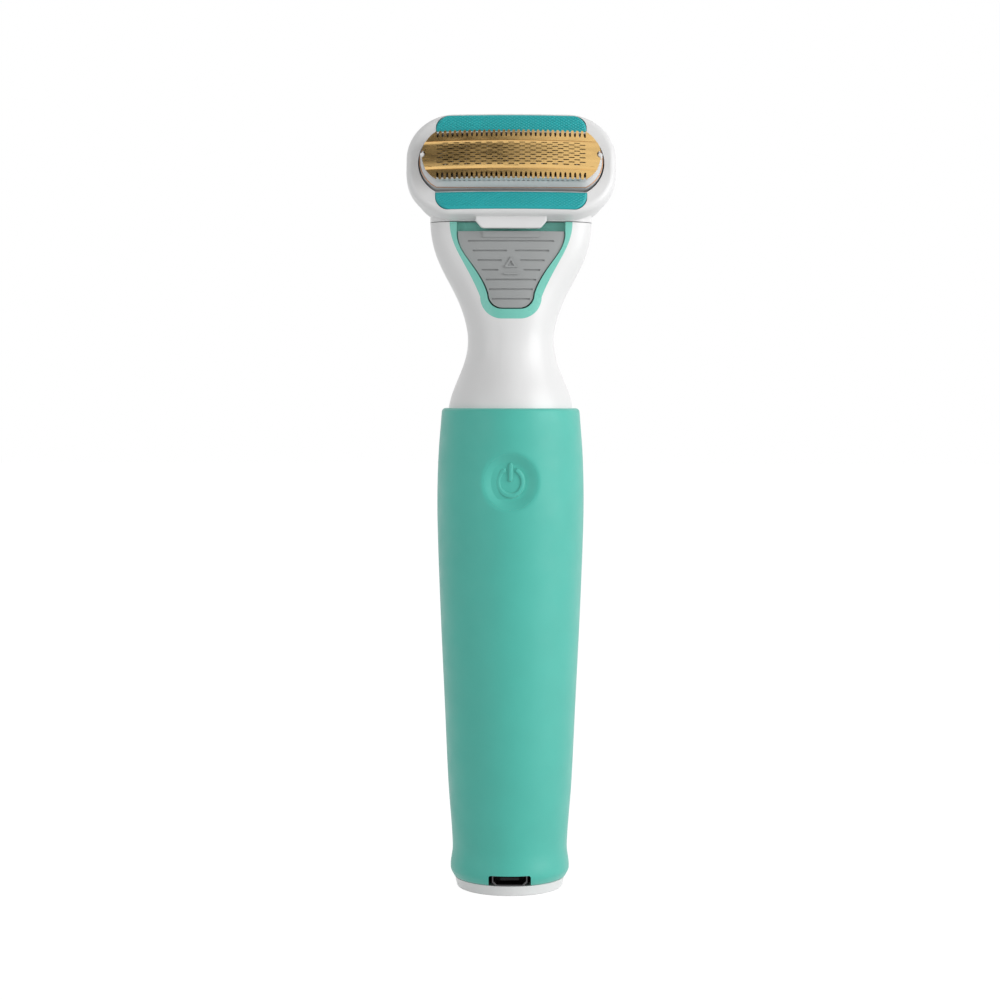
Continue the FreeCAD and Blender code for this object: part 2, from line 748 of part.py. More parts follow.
# ---- Motor and drive --------------------------------------------------------------------
def motor_bracket():
    """Flanged cup that holds the motor in the neck."""
    flange_radius = core_inside_radius(grip_top) - fit - 1.4 - fit
    flange = rod(flange_radius, V(0, 0, bracket_bottom + 0.3), Z_AXIS, 1.4)
    cup = rod(motor_radius + 1.3, V(0, 0, bracket_bottom + 0.3), Z_AXIS,
              can_bottom + 6.0 - bracket_bottom)
    bore = rod(motor_radius + fit / 2, V(0, 0, can_bottom - 2.0), Z_AXIS, FAR)
    well = rod(motor_radius - 1.2, V(0, 0, bracket_bottom), Z_AXIS, FAR)
    lead_slot = box(-3.2, 3.2, -FAR, -motor_radius + 2, 0, can_bottom - 0.2)
    bores = [rod(0.6, V(side * 8.4, 0, bracket_bottom), Z_AXIS, 3.0) for side in (-1, 1)]
    bracket = joined([flange, cup])
    for cut in [bore, well, lead_slot] + bores:
        bracket = bracket.cut(cut)
    return bracket


def bracket_screws():
    """Two screws through the bracket's flange."""
    screws = []
    for side in (-1, 1):
        seat_z = bracket_bottom + 1.7
        head = rod(1.1, V(side * 8.4, 0, seat_z), Z_AXIS, 0.7)
        shank = rod(0.6, V(side * 8.4, 0, bracket_bottom - 1.0), Z_AXIS, seat_z + 1.1
                    - bracket_bottom)
        screws.append(joined([head, shank]))
    return screws


def motor_end_cap():
    """Moulded end of the motor with a bore for the shaft."""
    cap = rod(motor_radius, V(0, 0, can_bottom - 2.0), Z_AXIS, 2.0)
    return cap.cut(rod(shaft_radius + running_gap, V(0, 0, can_bottom - 1.2), Z_AXIS, 2.0))


def motor_can():
    """Steel can, open below, with a nose that holds the bush."""
    can = rod(motor_radius, V(0, 0, can_bottom), Z_AXIS, motor_length)
    room = rod(motor_radius - motor_wall, V(0, 0, can_bottom), Z_AXIS, motor_length - motor_wall)
    nose = rod(2.4, V(0, 0, can_top - 0.2), Z_AXIS, 1.2)
    bush_bore = rod(1.7, V(0, 0, can_top - motor_wall), Z_AXIS, 3.0)
    return joined([can.cut(room), nose]).cut(bush_bore)


def motor_bush():
    """Sintered bush in the motor's nose."""
    return tube(1.7, shaft_radius + running_gap, V(0, 0, can_top - motor_wall), Z_AXIS,
                motor_wall + 1.0)


def motor_magnets():
    """Two curved magnets inside the can."""
    outer = motor_radius - motor_wall
    ring = tube(outer, outer - 1.1, V(0, 0, can_bottom + 2.0), Z_AXIS, motor_length - 5.0)
    return [ring.common(box(2.0, FAR, -FAR, FAR, 0, FAR * 4)),
            ring.common(box(-FAR, -2.0, -FAR, FAR, 0, FAR * 4))]


def motor_rotor():
    """Armature and commutator fixed on the shaft."""
    shaft = rod(shaft_radius, V(0, 0, can_bottom - 1.0), Z_AXIS, cam_top - can_bottom + 1.0)
    armature = rod(motor_radius - motor_wall - 1.5, V(0, 0, can_bottom + 3.0), Z_AXIS,
                   motor_length - 7.0)
    commutator = rod(1.6, V(0, 0, can_bottom + 0.6), Z_AXIS, 2.5)
    return joined([shaft, armature, commutator])


def motor_leads():
    """Two leads from the board's top up to the motor's end cap."""
    leads = []
    for side in (-1, 1):
        x = side * 2.0
        end_y = -(motor_radius - 1.6)
        start = V(x, plate_front_y - board_thickness / 2, board_top)
        end = V(x, end_y, can_bottom - 2.0)
        rise = (end.z - start.z) / 2
        corner_low = start + V(0, 0, rise * 0.6)
        corner_high = end - V(0, 0, rise * 0.6)
        spine = Part.BezierCurve()
        spine.setPoles([start, corner_low, corner_high, end])
        ring = Part.Wire([Part.makeCircle(wire_radius, start, Z_AXIS)])
        leads.append(Part.Wire([spine.toShape()]).makePipeShell([ring], True, False))
    return leads


def eccentric_cam():
    """Disc on the shaft with the off-centre crank pin."""
    disc = rod(crank_disc_radius, V(0, 0, cam_bottom), Z_AXIS, cam_top - cam_bottom)
    disc = disc.cut(rod(shaft_radius, V(0, 0, cam_bottom), Z_AXIS, cam_top - cam_bottom))
    pin = rod(crank_pin_radius, V(0, -crank_radius, cam_top - 0.4), Z_AXIS,
              crank_mid_z + 1.5 - cam_top + 0.4)
    return joined([disc, pin.cut(rod(shaft_radius, V(0, 0, cam_bottom), Z_AXIS, 2.4))])


def drive_lever():
    """Rocking lever: a fork round the crank pin below, a finger to the cutter above."""
    back = lever_front + lever_depth
    half_slot = crank_pin_radius + fork_gap
    fork_low = crank_mid_z - 1.0
    fork_top = crank_mid_z + 2.2
    outer = half_slot + 1.4
    fork = box(-outer, outer, lever_front - 0.3, back, fork_low, fork_top + 1.4)
    fork = fork.cut(box(-half_slot, half_slot, -FAR, FAR, fork_low, fork_top))
    arm = box(-1.5, 1.5, lever_front, back, fork_top + 1.0, pivot_z)
    hub = rod(2.7, V(0, lever_front, pivot_z), Y_AXIS, lever_depth)
    finger = box(-1.0, 1.0, lever_front, back, pivot_z, pivot_z + finger_length)
    bush_bore = rod(pivot_pin_radius + running_gap + 0.7, V(0, lever_front, pivot_z), Y_AXIS,
                    lever_depth)
    return joined([fork, arm, hub, finger]).cut(bush_bore)


def lever_bush():
    """Bronze bush in the lever's hub."""
    return tube(pivot_pin_radius + running_gap + 0.7, pivot_pin_radius + running_gap,
                V(0, lever_front, pivot_z), Y_AXIS, lever_depth)


def lever_pin():
    """Steel pin across the neck that the lever rocks on."""
    return rod(pivot_pin_radius, V(0, pin_front_y, pivot_z), Y_AXIS, pin_back_y - pin_front_y)


def drive_seal():
    """Rubber gasket on the tower round the finger."""
    plate = prism(oval(8.0, 3.4, 2.6, neck_top + 3.5), V(0, 0, 0.8))
    return plate.cut(box(-2.5, 2.5, lever_front - 0.4, lever_front + lever_depth + 0.4, 0, FAR * 4))


# ---- Head: built upright with its face at y = 0, then tilted and lifted into place ------
def place_head(shape):
    """Tilt a head piece back and lift it to its place above the neck."""
    placed = shape.copy()
    placed.rotate(V(0, 0, 0), X_AXIS, -head_tilt)
    placed.translate(V(0, -head_front, neck_top + head_rise))
    return placed


def rounded_slab(half_width, half_height, corner, y0, y1):
    """Slab with rounded corners between two depths."""
    slab = box(-half_width, half_width, y0, y1, -half_height, half_height)
    upright = [e for e in slab.Edges if e.BoundBox.YLength > (y1 - y0) * 0.99]
    return slab.makeFillet(corner, upright)


def lens(half_width, half_height, corner_x, y0, y1):
    """Slab with straight long sides and arched ends."""
    a = V(corner_x, y0, half_height)
    b = V(corner_x, y0, -half_height)
    c = V(-corner_x, y0, -half_height)
    d = V(-corner_x, y0, half_height)
    right = Part.Arc(a, V(half_width, y0, 0), b).toShape()
    left = Part.Arc(c, V(-half_width, y0, 0), d).toShape()
    outline = Part.Wire([right, Part.makeLine(b, c), left, Part.makeLine(d, a)])
    return prism(outline, V(0, y1 - y0, 0))


def arch_radius():
    """Radius of the long arch across the head's face."""
    half = head_width / 2
    return (half * half + head_arch * head_arch) / (2 * head_arch)


def behind_arch(y):
    """Everything behind the arched face, moved back by y."""
    radius = arch_radius()
    return rod(radius, V(0, radius + y, -FAR), Z_AXIS, FAR * 2)


def strip_prism(side, grow, y0, y1):
    """Outline of a cushion strip with its two outer corners rounded."""
    low = window_half_height + 0.1 - grow
    high = strip_edge + grow
    half_in = strip_half_inner + grow
    half_out = strip_half_outer + grow
    shoulder = high - (half_in - half_out) * 0.95
    bend = (half_in - half_out) * (1 - math.sqrt(0.5))
    a = V(half_in, y0, low * side)
    b = V(half_in, y0, shoulder * side)
    b_mid = V(half_in - bend, y0, (high - bend) * side)
    c = V(half_out, y0, high * side)
    d = V(-half_out, y0, high * side)
    e_mid = V(bend - half_in, y0, (high - bend) * side)
    e = V(-half_in, y0, shoulder * side)
    f = V(-half_in, y0, low * side)
    outline = Part.Wire([Part.makeLine(a, b), Part.Arc(b, b_mid, c).toShape(),
                         Part.makeLine(c, d), Part.Arc(d, e_mid, e).toShape(),
                         Part.makeLine(e, f), Part.makeLine(f, a)])
    return prism(outline, V(0, y1 - y0, 0))


def head_frame():
    """White front frame with its window, strip seats and the tongue over the slider."""
    blank = rounded_slab(head_width / 2, head_height / 2, head_corner, -1.0, frame_depth)
    blank = blank.common(behind_arch(0))
    front_edges = [e for e in blank.Edges if e.BoundBox.YMax < head_arch + 0.3]
    blank = blank.makeFillet(frame_round, front_edges)
    window = lens(window_half_width, window_half_height, window_corner_x, -FAR, FAR)
    frame = blank.cut(window)
    for side in (-1, 1):
        seat_cut = strip_prism(side, 0, -FAR, FAR).cut(behind_arch(strip_depth))
        frame = frame.cut(seat_cut)
    return joined([place_head(frame), tongue()])


tongue_back_y = -(neck_top_depth / 2 + 0.3)


def tongue():
    """Tongue that hangs from the frame in front of the slider's top."""
    y = tongue_back_y - tongue_thickness
    root_z = neck_top + 2.0
    foot_z = neck_top - tongue_drop
    points = [V(-tongue_half_foot, y, foot_z), V(tongue_half_foot, y, foot_z),
              V(tongue_half_top, y, neck_top), V(tongue_half_top, y, root_z),
              V(-tongue_half_top, y, root_z), V(-tongue_half_top, y, neck_top)]
    slab = prism(Part.makePolygon(points + [points[0]]), V(0, tongue_thickness, 0))
    corners = [e for e in slab.Edges if e.BoundBox.YLength > tongue_thickness * 0.99
               and e.BoundBox.ZMax < neck_top - 0.1]
    slab = slab.makeFillet(tongue_corner, corners)
    front_edges = [e for e in slab.Edges if e.BoundBox.YMax < y + 0.01
                   and e.BoundBox.ZMin < root_z - 0.01]
    return slab.makeFillet(tongue_edge, front_edges)


def cushion(side):
    """Soft strip beside the foil."""
    strip = strip_prism(side, -0.03, -FAR, FAR)
    return place_head(strip.common(behind_arch(-0.15)).cut(behind_arch(strip_depth)))


def head_column(inset, low_z, high_z):
    """Upright part of the head that continues the neck's top outline."""
    outline = oval(neck_top_width / 2 - inset, neck_top_depth / 2 - inset, 3.0, low_z)
    column = prism(outline, V(0, 0, high_z - low_z))
    slab = place_head(box(-FAR, FAR, -FAR, frame_depth, -FAR, FAR))
    return column.cut(slab)


def head_housing():
    """Hollow rear housing: a rounded back and a column down to the neck."""
    half_width = head_width / 2 - housing_inset
    half_height = head_height / 2 - housing_inset
    corner = head_corner - housing_inset
    back = rounded_slab(half_width, half_height, corner, frame_depth, head_depth)
    rear_edges = [e for e in back.Edges if e.BoundBox.YMin > head_depth - 0.01]
    back = back.makeFillet(3.0, rear_edges)
    room = rounded_slab(half_width - head_wall, half_height - head_wall, corner - head_wall,
                        frame_depth, head_depth - head_wall)
    column_top = neck_top + head_rise - 4.0
    outside = joined([place_head(back), head_column(0, head_bottom, column_top)])
    inside = joined([place_head(room), head_column(head_wall, head_bottom, column_top - 0.5)])
    return outside.cut(inside).cut(box(-FAR, FAR, -FAR, FAR, 0, head_bottom))


# ---- Foil cassette ----------------------------------------------------------------------
foil_y = -foil_proud
wall_front_y = foil_y + foil_thickness
cassette_back_y = wall_front_y + cassette_depth


def cassette_frame():
    """Grey frame of the floating foil block: side walls, end blocks and spring pads."""
    outer = lens(foil_half_width - 0.1, foil_half_height - 0.1, foil_corner_x, wall_front_y,
                 cassette_back_y)
    inner = lens(foil_half_width - cassette_wall - 0.1, foil_half_height - cassette_wall - 0.1,
                 foil_corner_x - cassette_wall * 0.4, wall_front_y, cassette_back_y)
    comb_room = box(-foil_corner_x - 0.6, foil_corner_x + 0.6, wall_front_y, wall_front_y + 0.75,
                    -FAR, FAR)
    frame = outer.cut(inner).cut(comb_room)
    pad_x = foil_half_width - pad_inset
    pads = [lens(foil_half_width - 0.1, foil_half_height - 0.1, foil_corner_x,
                 cassette_back_y - 1.0, cassette_back_y)
            .common(box(min(s * pad_x, s * FAR), max(s * pad_x, s * FAR), -FAR, FAR, -FAR, FAR))
            for s in (-1, 1)]
    return place_head(joined([frame] + pads))


def foil_section(front_shift):
    """Profile of the foil across its width, in the Y-Z plane: flange, crest, flange."""
    y = foil_y + front_shift
    a = V(-FAR, y, -foil_half_height)
    b = V(-FAR, y, -band_half_height)
    crest = V(-FAR, y - band_rise, 0)
    c = V(-FAR, y, band_half_height)
    d = V(-FAR, y, foil_half_height)
    return [Part.makeLine(a, b), Part.Arc(b, crest, c).toShape(), Part.makeLine(c, d)]


def foil_block(shift, thickness):
    """Foil profile swept along X as a sheet of a given thickness."""
    front = foil_section(shift)
    rear = foil_section(shift + thickness)
    ends = [Part.makeLine(front[0].Vertexes[0].Point, rear[0].Vertexes[0].Point),
            Part.makeLine(front[2].Vertexes[-1].Point, rear[2].Vertexes[-1].Point)]
    outline = Part.Wire(Part.__sortEdges__(front + rear + ends))
    return prism(outline, V(FAR * 2, 0, 0))


def shaving_foil():
    """Foil plate: arched band, two toothed comb flanges and a notch at each end."""
    sheet = foil_block(0, foil_thickness)
    outline = lens(foil_half_width, foil_half_height, foil_corner_x, -FAR, FAR)
    sheet = sheet.common(outline)
    slots = []
    for step in range(comb_slots):
        x = (step - (comb_slots - 1) / 2) * comb_pitch
        for side in (-1, 1):
            edge = side * foil_half_height
            inner = side * (foil_half_height - comb_slot_length)
            slots.append(box(x - comb_slot_width / 2, x + comb_slot_width / 2, -FAR, FAR,
                             min(edge, inner), max(edge, inner)))
    notches = [rod(notch_radius, V(s * foil_half_width, -FAR, 0), Y_AXIS, FAR * 2)
               for s in (-1, 1)]
    return place_head(sheet.cut(Part.makeCompound(slots + notches)))


def foil_springs():
    """Two coil springs between the cassette and the head's back wall."""
    length = head_depth - head_wall - cassette_back_y
    springs = []
    for side in (-1, 1):
        coil = coil_spring(1.0, 0.2, V(0, 0, 0), length, 4)
        coil.rotate(V(0, 0, 0), X_AXIS, -90)
        springs.append(place_head(coil.translated(V(side * spring_x, cassette_back_y, 0))))
    return springs


def cutter_carrier():
    """Block that carries the blades, with a fork behind it for the lever's finger."""
    block = rounded_slab(carrier_half_width, carrier_half_height, 1.2, carrier_front,
                         carrier_front + carrier_thickness)
    gap = 1.0 + prong_gap
    prongs = [box(min(s * gap, s * (gap + 1.6)), max(s * gap, s * (gap + 1.6)),
                  carrier_front + 1.0, prong_reach, -3.2, -0.2) for s in (-1, 1)]
    rail_back = carrier_front + 0.5
    rails = [box(-carrier_half_width + 0.8, carrier_half_width - 0.8, comb_cutter_back(),
                 rail_back, min(s * 3.5, s * 4.2), max(s * 3.5, s * 4.2)) for s in (-1, 1)]
    return place_head(joined([block] + prongs + rails))


def comb_cutter_front():
    """Front of the moving combs, just under the fixed ones."""
    return foil_y + foil_thickness + blade_gap


def comb_cutter_back():
    """Back of the moving combs."""
    return comb_cutter_front() + 0.3


def inner_blades():
    """Row of thin curved blades under the arched band."""
    crest = band_rise
    low = carrier_front
    span = band_half_height - 0.35
    a = V(0, low, -span)
    b = V(0, comb_cutter_front() + 0.02, -span)
    top = V(0, comb_cutter_front() - crest, 0)
    c = V(0, comb_cutter_front() + 0.02, span)
    d = V(0, low, span)
    outline = Part.Wire([Part.makeLine(a, b), Part.Arc(b, top, c).toShape(),
                         Part.makeLine(c, d), Part.makeLine(d, a)])
    blades = []
    for step in range(blade_count):
        x = (step - (blade_count - 1) / 2) * blade_pitch
        plate = prism(outline, V(blade_thickness, 0, 0))
        blades.append(place_head(plate.translated(V(x - blade_thickness / 2, 0, 0))))
    return blades


def comb_cutter(side):
    """Toothed strip that runs under one comb."""
    low = band_half_height + 0.2
    high = foil_half_height - 0.15
    strip = box(-carrier_half_width, carrier_half_width, comb_cutter_front(), comb_cutter_back(),
                min(side * low, side * high), max(side * low, side * high))
    slots = []
    count = comb_slots - 4
    for step in range(count):
        x = (step - (count - 1) / 2) * comb_pitch
        edge = side * high
        inner = side * (high - 1.0)
        slots.append(box(x - 0.25, x + 0.25, -FAR, FAR, min(edge, inner), max(edge, inner)))
    return place_head(strip.cut(Part.makeCompound(slots)))


# ---- Files ------------------------------------------------------------------------------
def write(node, shape):
    """Write one node: a solid, or a list of separate solids."""
    if isinstance(shape, list):
        solids = [solid for item in shape for solid in item.Solids]
    else:
        solids = shape.Solids
    body = solids[0] if len(solids) == 1 else Part.makeCompound(solids)
    body.exportStep("parts/" + node + ".step")
    print(node, len(solids), round(sum(s.Volume for s in solids), 2), body.isValid())


def main():
    os.makedirs("parts", exist_ok=True)
    write("base_cap", base_cap())
    write("grip_sleeve", grip_sleeve())
    write("grip_core", grip_core())
    write("button_pad", button_pad())
    write("button_plunger", button_plunger())
    write("tact_switch", tact_switch())
    write("switch_stem", switch_stem())
    write("usb_shell", usb_shell())
    write("usb_insert", usb_insert())
    write("charging_board", charging_board())
    write("chassis", chassis())
    write("battery", battery())
    write("battery_tabs", battery_tabs())
    write("battery_lead", battery_lead())
    write("charge_wires", charge_wires())
    write("main_board", main_board())
    write("board_parts", board_parts())
    write("board_screws", board_screws())
    front, rear = neck_halves(neck_shell())
    write("neck_front_shell", front)
    write("neck_rear_shell", rear)
    write("slider_bezel", slider_bezel())
    write("eject_slider", eject_slider())
    write("slider_spring", slider_spring())
    write("motor_bracket", motor_bracket())
    write("bracket_screws", bracket_screws())
    write("motor_end_cap", motor_end_cap())
    write("motor_can", motor_can())
    write("motor_bush", motor_bush())
    write("motor_magnets", motor_magnets())
    write("motor_rotor", motor_rotor())
    write("motor_leads", motor_leads())
    write("eccentric_cam", eccentric_cam())
    write("drive_lever", drive_lever())
    write("lever_bush", lever_bush())
    write("lever_pin", lever_pin())
    write("drive_seal", drive_seal())
    write("head_frame", head_frame())
    write("head_housing", head_housing())
    write("cushion_upper", cushion(1))
    write("cushion_lower", cushion(-1))
    write("cassette_frame", cassette_frame())
    write("shaving_foil", shaving_foil())
    write("foil_springs", foil_springs())
    write("cutter_carrier", cutter_carrier())
    write("inner_blades", inner_blades())
    write("comb_cutter_upper", comb_cutter(1))
    write("comb_cutter_lower", comb_cutter(-1))


main()
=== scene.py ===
import json
import math

import bmesh
import bpy
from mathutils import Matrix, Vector


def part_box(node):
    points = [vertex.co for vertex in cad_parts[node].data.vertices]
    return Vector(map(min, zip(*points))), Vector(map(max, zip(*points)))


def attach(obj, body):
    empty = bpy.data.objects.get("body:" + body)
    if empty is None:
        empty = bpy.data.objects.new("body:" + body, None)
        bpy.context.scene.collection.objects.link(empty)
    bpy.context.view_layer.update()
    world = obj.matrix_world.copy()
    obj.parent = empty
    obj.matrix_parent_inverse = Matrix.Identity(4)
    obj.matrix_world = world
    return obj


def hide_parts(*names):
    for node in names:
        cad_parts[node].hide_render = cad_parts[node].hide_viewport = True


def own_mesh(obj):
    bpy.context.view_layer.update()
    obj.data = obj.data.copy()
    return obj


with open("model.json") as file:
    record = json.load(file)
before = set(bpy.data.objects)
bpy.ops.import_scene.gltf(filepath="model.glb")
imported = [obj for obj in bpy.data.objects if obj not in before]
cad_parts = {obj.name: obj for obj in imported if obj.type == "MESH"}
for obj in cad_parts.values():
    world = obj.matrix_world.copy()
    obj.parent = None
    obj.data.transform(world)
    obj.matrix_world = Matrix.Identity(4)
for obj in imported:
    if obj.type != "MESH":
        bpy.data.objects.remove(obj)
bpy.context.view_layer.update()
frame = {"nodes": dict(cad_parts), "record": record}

# Looks of the cordless foil body shaver: every CAD node gets a material, and the soft grip, the
# button pad, the cushions, the foil and its cassette are modelled here in detail. The two springs
# that a joint presses are copied onto their bodies in place of the CAD nodes. Lengths are written
# in millimetres and turned into metres by MM.

MM = 0.001


def node_box(node):
    """Lowest and highest corner of a CAD node, in millimetres."""
    low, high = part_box(node)
    return Vector(low) / MM, Vector(high) / MM


# ---- Places read from the frame ---------------------------------------------------------
TILT = math.radians(20.0)
INWARD = Vector((0, math.cos(TILT), -math.sin(TILT)))
UPWARD = Vector((0, math.sin(TILT), math.cos(TILT)))
FOIL_MIDDLE_DEPTH = -2.375         # the foil flange's middle, in front of the head's face
foil_low, foil_high = node_box("shaving_foil")
FACE = (foil_low + foil_high) / 2 - INWARD * FOIL_MIDDLE_DEPTH
sleeve_low, sleeve_high = node_box("grip_sleeve")
pad_low, pad_high = node_box("button_pad")
BUTTON_Z = (pad_low.z + pad_high.z) / 2
CAP_TOP = node_box("base_cap")[1].z
SOCKET_TOP = node_box("usb_shell")[1].z


def on_face(x, depth, up):
    """Point given across, behind and up the head's tilted face, in millimetres."""
    return FACE + Vector((x, 0, 0)) + INWARD * depth + UPWARD * up


# ---- Materials --------------------------------------------------------------------------
NOISE_LOW, NOISE_HIGH = 0.3, 0.7   # a noise texture lies mostly between these
CLOUD_SIZE = 9.0                   # faint tone patches in moulded plastic
GLOSS_PATCH = 4.0                  # patches of uneven gloss in moulded plastic
METAL_TONE_SIZE = 1.5
METAL_GLOSS_SIZE = 0.8
METAL_GRAIN_DEPTH = 0.004


class Shader:
    """A material under construction, with object coordinates and a Principled shader."""

    def __init__(self, name, metallic=0.0, roughness=0.4, specular=0.5, coat=0.0,
                 coat_roughness=0.05, sheen=0.0):
        self.material = bpy.data.materials.new(name)
        self.material.use_nodes = True
        self.nodes = self.material.node_tree.nodes
        self.links = self.material.node_tree.links
        self.principled = self.nodes["Principled BSDF"]
        self.set("Metallic", metallic)
        self.set("Roughness", roughness)
        self.set("Specular IOR Level", specular)
        self.set("Coat Weight", coat)
        self.set("Coat Roughness", coat_roughness)
        self.set("Sheen Weight", sheen)
        self.coordinates = self.nodes.new("ShaderNodeTexCoord").outputs["Object"]
        self.height = None

    def set(self, socket, value):
        """Give a socket of the Principled shader one value all over."""
        self.principled.inputs[socket].default_value = value

    def noise(self, size_mm, detail=3.0, stretch=(1, 1, 1)):
        """Noise whose features are about size_mm across."""
        mapping = self.nodes.new("ShaderNodeMapping")
        mapping.inputs["Scale"].default_value = stretch
        self.links.new(self.coordinates, mapping.inputs["Vector"])
        texture = self.nodes.new("ShaderNodeTexNoise")
        texture.inputs["Scale"].default_value = 1 / (size_mm * MM)
        texture.inputs["Detail"].default_value = detail
        self.links.new(mapping.outputs["Vector"], texture.inputs["Vector"])
        return texture.outputs["Fac"]

    def colour(self, first, second, factor, low=0.35, high=0.65):
        """Base colour that wanders between two linear colours."""
        ramp = self.nodes.new("ShaderNodeValToRGB")
        ramp.color_ramp.elements[0].position = low
        ramp.color_ramp.elements[0].color = (*first, 1)
        ramp.color_ramp.elements[1].position = high
        ramp.color_ramp.elements[1].color = (*second, 1)
        self.links.new(factor, ramp.inputs["Fac"])
        self.links.new(ramp.outputs["Color"], self.principled.inputs["Base Color"])

    def gloss(self, low, high, factor):
        """Roughness that wanders between two values."""
        spread = self.nodes.new("ShaderNodeMapRange")
        spread.inputs["From Min"].default_value = NOISE_LOW
        spread.inputs["From Max"].default_value = NOISE_HIGH
        spread.inputs["To Min"].default_value = low
        spread.inputs["To Max"].default_value = high
        self.links.new(factor, spread.inputs["Value"])
        self.links.new(spread.outputs["Result"], self.principled.inputs["Roughness"])

    def relief(self, factor, depth_mm, strength=1.0):
        """Fine relief on top of what is already there."""
        bump = self.nodes.new("ShaderNodeBump")
        bump.inputs["Distance"].default_value = depth_mm * MM
        bump.inputs["Strength"].default_value = strength
        self.links.new(factor, bump.inputs["Height"])
        if self.height:
            self.links.new(self.height, bump.inputs["Normal"])
        self.height = bump.outputs["Normal"]
        self.links.new(self.height, self.principled.inputs["Normal"])


def shade(rgb, share):
    """A colour made darker or lighter by a share."""
    return tuple(min(1.0, channel * share) for channel in rgb)


def moulded(name, rgb, roughness, grain_mm, grain_depth, spread=0.03, **more):
    """Moulded plastic or rubber: faint cloudiness, uneven gloss and a fine grain."""
    shader = Shader(name, roughness=roughness, **more)
    shader.colour(shade(rgb, 1 - spread), shade(rgb, 1 + spread), shader.noise(CLOUD_SIZE))
    shader.gloss(roughness * 0.85, roughness * 1.15, shader.noise(GLOSS_PATCH, 5.0))
    shader.relief(shader.noise(grain_mm, 2.0), grain_depth)
    return shader.material


def metal(name, rgb, roughness, grain_mm, stretch=(1, 1, 1), spread=0.08, **more):
    """Metal with brushed or ground relief."""
    shader = Shader(name, metallic=1.0, roughness=roughness, **more)
    tone = shader.noise(METAL_TONE_SIZE, 4.0, stretch)
    shader.colour(shade(rgb, 1 - spread), shade(rgb, 1 + spread), tone)
    shader.gloss(roughness * 0.7, roughness * 1.3, shader.noise(METAL_GLOSS_SIZE, 4.0, stretch))
    shader.relief(shader.noise(grain_mm, 2.0, stretch), METAL_GRAIN_DEPTH)
    return shader.material


def make_materials():
    """One material for each slot of the record."""
    return {
        "white_shell": moulded("white_shell", (0.73, 0.73, 0.73), 0.36, 0.5, 0.0015,
                               spread=0.006, coat=0.12, coat_roughness=0.25),
        "teal_grip": moulded("teal_grip", (0.066, 0.455, 0.375), 0.50, 0.22, 0.006, spread=0.02,
                             specular=0.4, sheen=0.35),
        "core_plastic": moulded("core_plastic", (0.60, 0.61, 0.61), 0.45, 0.3, 0.004),
        "bezel_teal": moulded("bezel_teal", (0.17, 0.545, 0.455), 0.28, 0.4, 0.002, spread=0.015),
        "slider_grey": moulded("slider_grey", (0.315, 0.325, 0.325), 0.42, 0.16, 0.006,
                               spread=0.02),
        "cushion_teal": moulded("cushion_teal", (0.012, 0.37, 0.385), 0.45, 0.2, 0.004,
                                specular=0.4),
        "cassette_grey": moulded("cassette_grey", (0.58, 0.595, 0.60), 0.22, 0.5, 0.0015,
                                 spread=0.01, coat=0.2),
        "foil_gold": metal("foil_gold", (0.78, 0.51, 0.20), 0.27, 0.06, (0.15, 1, 1)),
        "steel": metal("steel", (0.55, 0.55, 0.56), 0.28, 0.08, (0.3, 1, 1)),
        # socket_steel is a copy of the steel darkened to near black: painted shade for metal that
        # sits in shadow
        "socket_steel": metal("socket_steel", (0.09, 0.09, 0.093), 0.35, 0.1),
        "black_plastic": moulded("black_plastic", (0.008, 0.008, 0.009), 0.5, 0.2, 0.003,
                                 specular=0.25),
        "board_green": moulded("board_green", (0.015, 0.12, 0.05), 0.3, 0.3, 0.003, spread=0.1),
        "chip_black": moulded("chip_black", (0.02, 0.02, 0.022), 0.5, 0.1, 0.004),
        "battery_wrap": moulded("battery_wrap", (0.03, 0.13, 0.38), 0.25, 0.8, 0.003),
        "nickel": metal("nickel", (0.60, 0.58, 0.53), 0.35, 0.1),
        "wire_red": moulded("wire_red", (0.40, 0.02, 0.02), 0.4, 0.2, 0.003),
        "bronze": metal("bronze", (0.45, 0.26, 0.11), 0.45, 0.06),
        "magnet": moulded("magnet", (0.05, 0.05, 0.055), 0.6, 0.1, 0.006),
        "lever_white": moulded("lever_white", (0.75, 0.75, 0.72), 0.4, 0.3, 0.003),
        "seal_rubber": moulded("seal_rubber", (0.02, 0.02, 0.02), 0.65, 0.15, 0.006),
    }


MATERIALS = make_materials()


def dress_nodes():
    """Give every CAD node the material of its slot in the record."""
    for entry in frame["record"]["subparts"]:
        node = frame["nodes"][entry["node"]]
        material = MATERIALS[entry["material_slot"]]
        if not node.material_slots:
            node.data.materials.append(material)
        for slot in node.material_slots:
            slot.material = material


# ---- Mesh helpers -----------------------------------------------------------------------
JOIN_WITHIN = 0.0005               # points closer than this become one


def make_mesh(name, points, faces):
    """Mesh object from points in millimetres, with shared points joined and faces turned out."""
    mesh = bpy.data.meshes.new(name)
    mesh.from_pydata([tuple(Vector(p) * MM) for p in points], [], faces)
    tidy = bmesh.new()
    tidy.from_mesh(mesh)
    bmesh.ops.remove_doubles(tidy, verts=tidy.verts, dist=JOIN_WITHIN * MM)
    bmesh.ops.recalc_face_normals(tidy, faces=tidy.faces)
    tidy.to_mesh(mesh)
    tidy.free()
    piece = bpy.data.objects.new(name, mesh)
    bpy.context.scene.collection.objects.link(piece)
    return piece


def make_piece(name, points, faces, body, slot):
    """Smooth mesh object that rides on a body and wears a slot's material."""
    piece = make_mesh(name, points, faces)
    for polygon in piece.data.polygons:
        polygon.use_smooth = True
    piece.data.materials.append(MATERIALS[slot])
    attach(piece, body)
    return piece


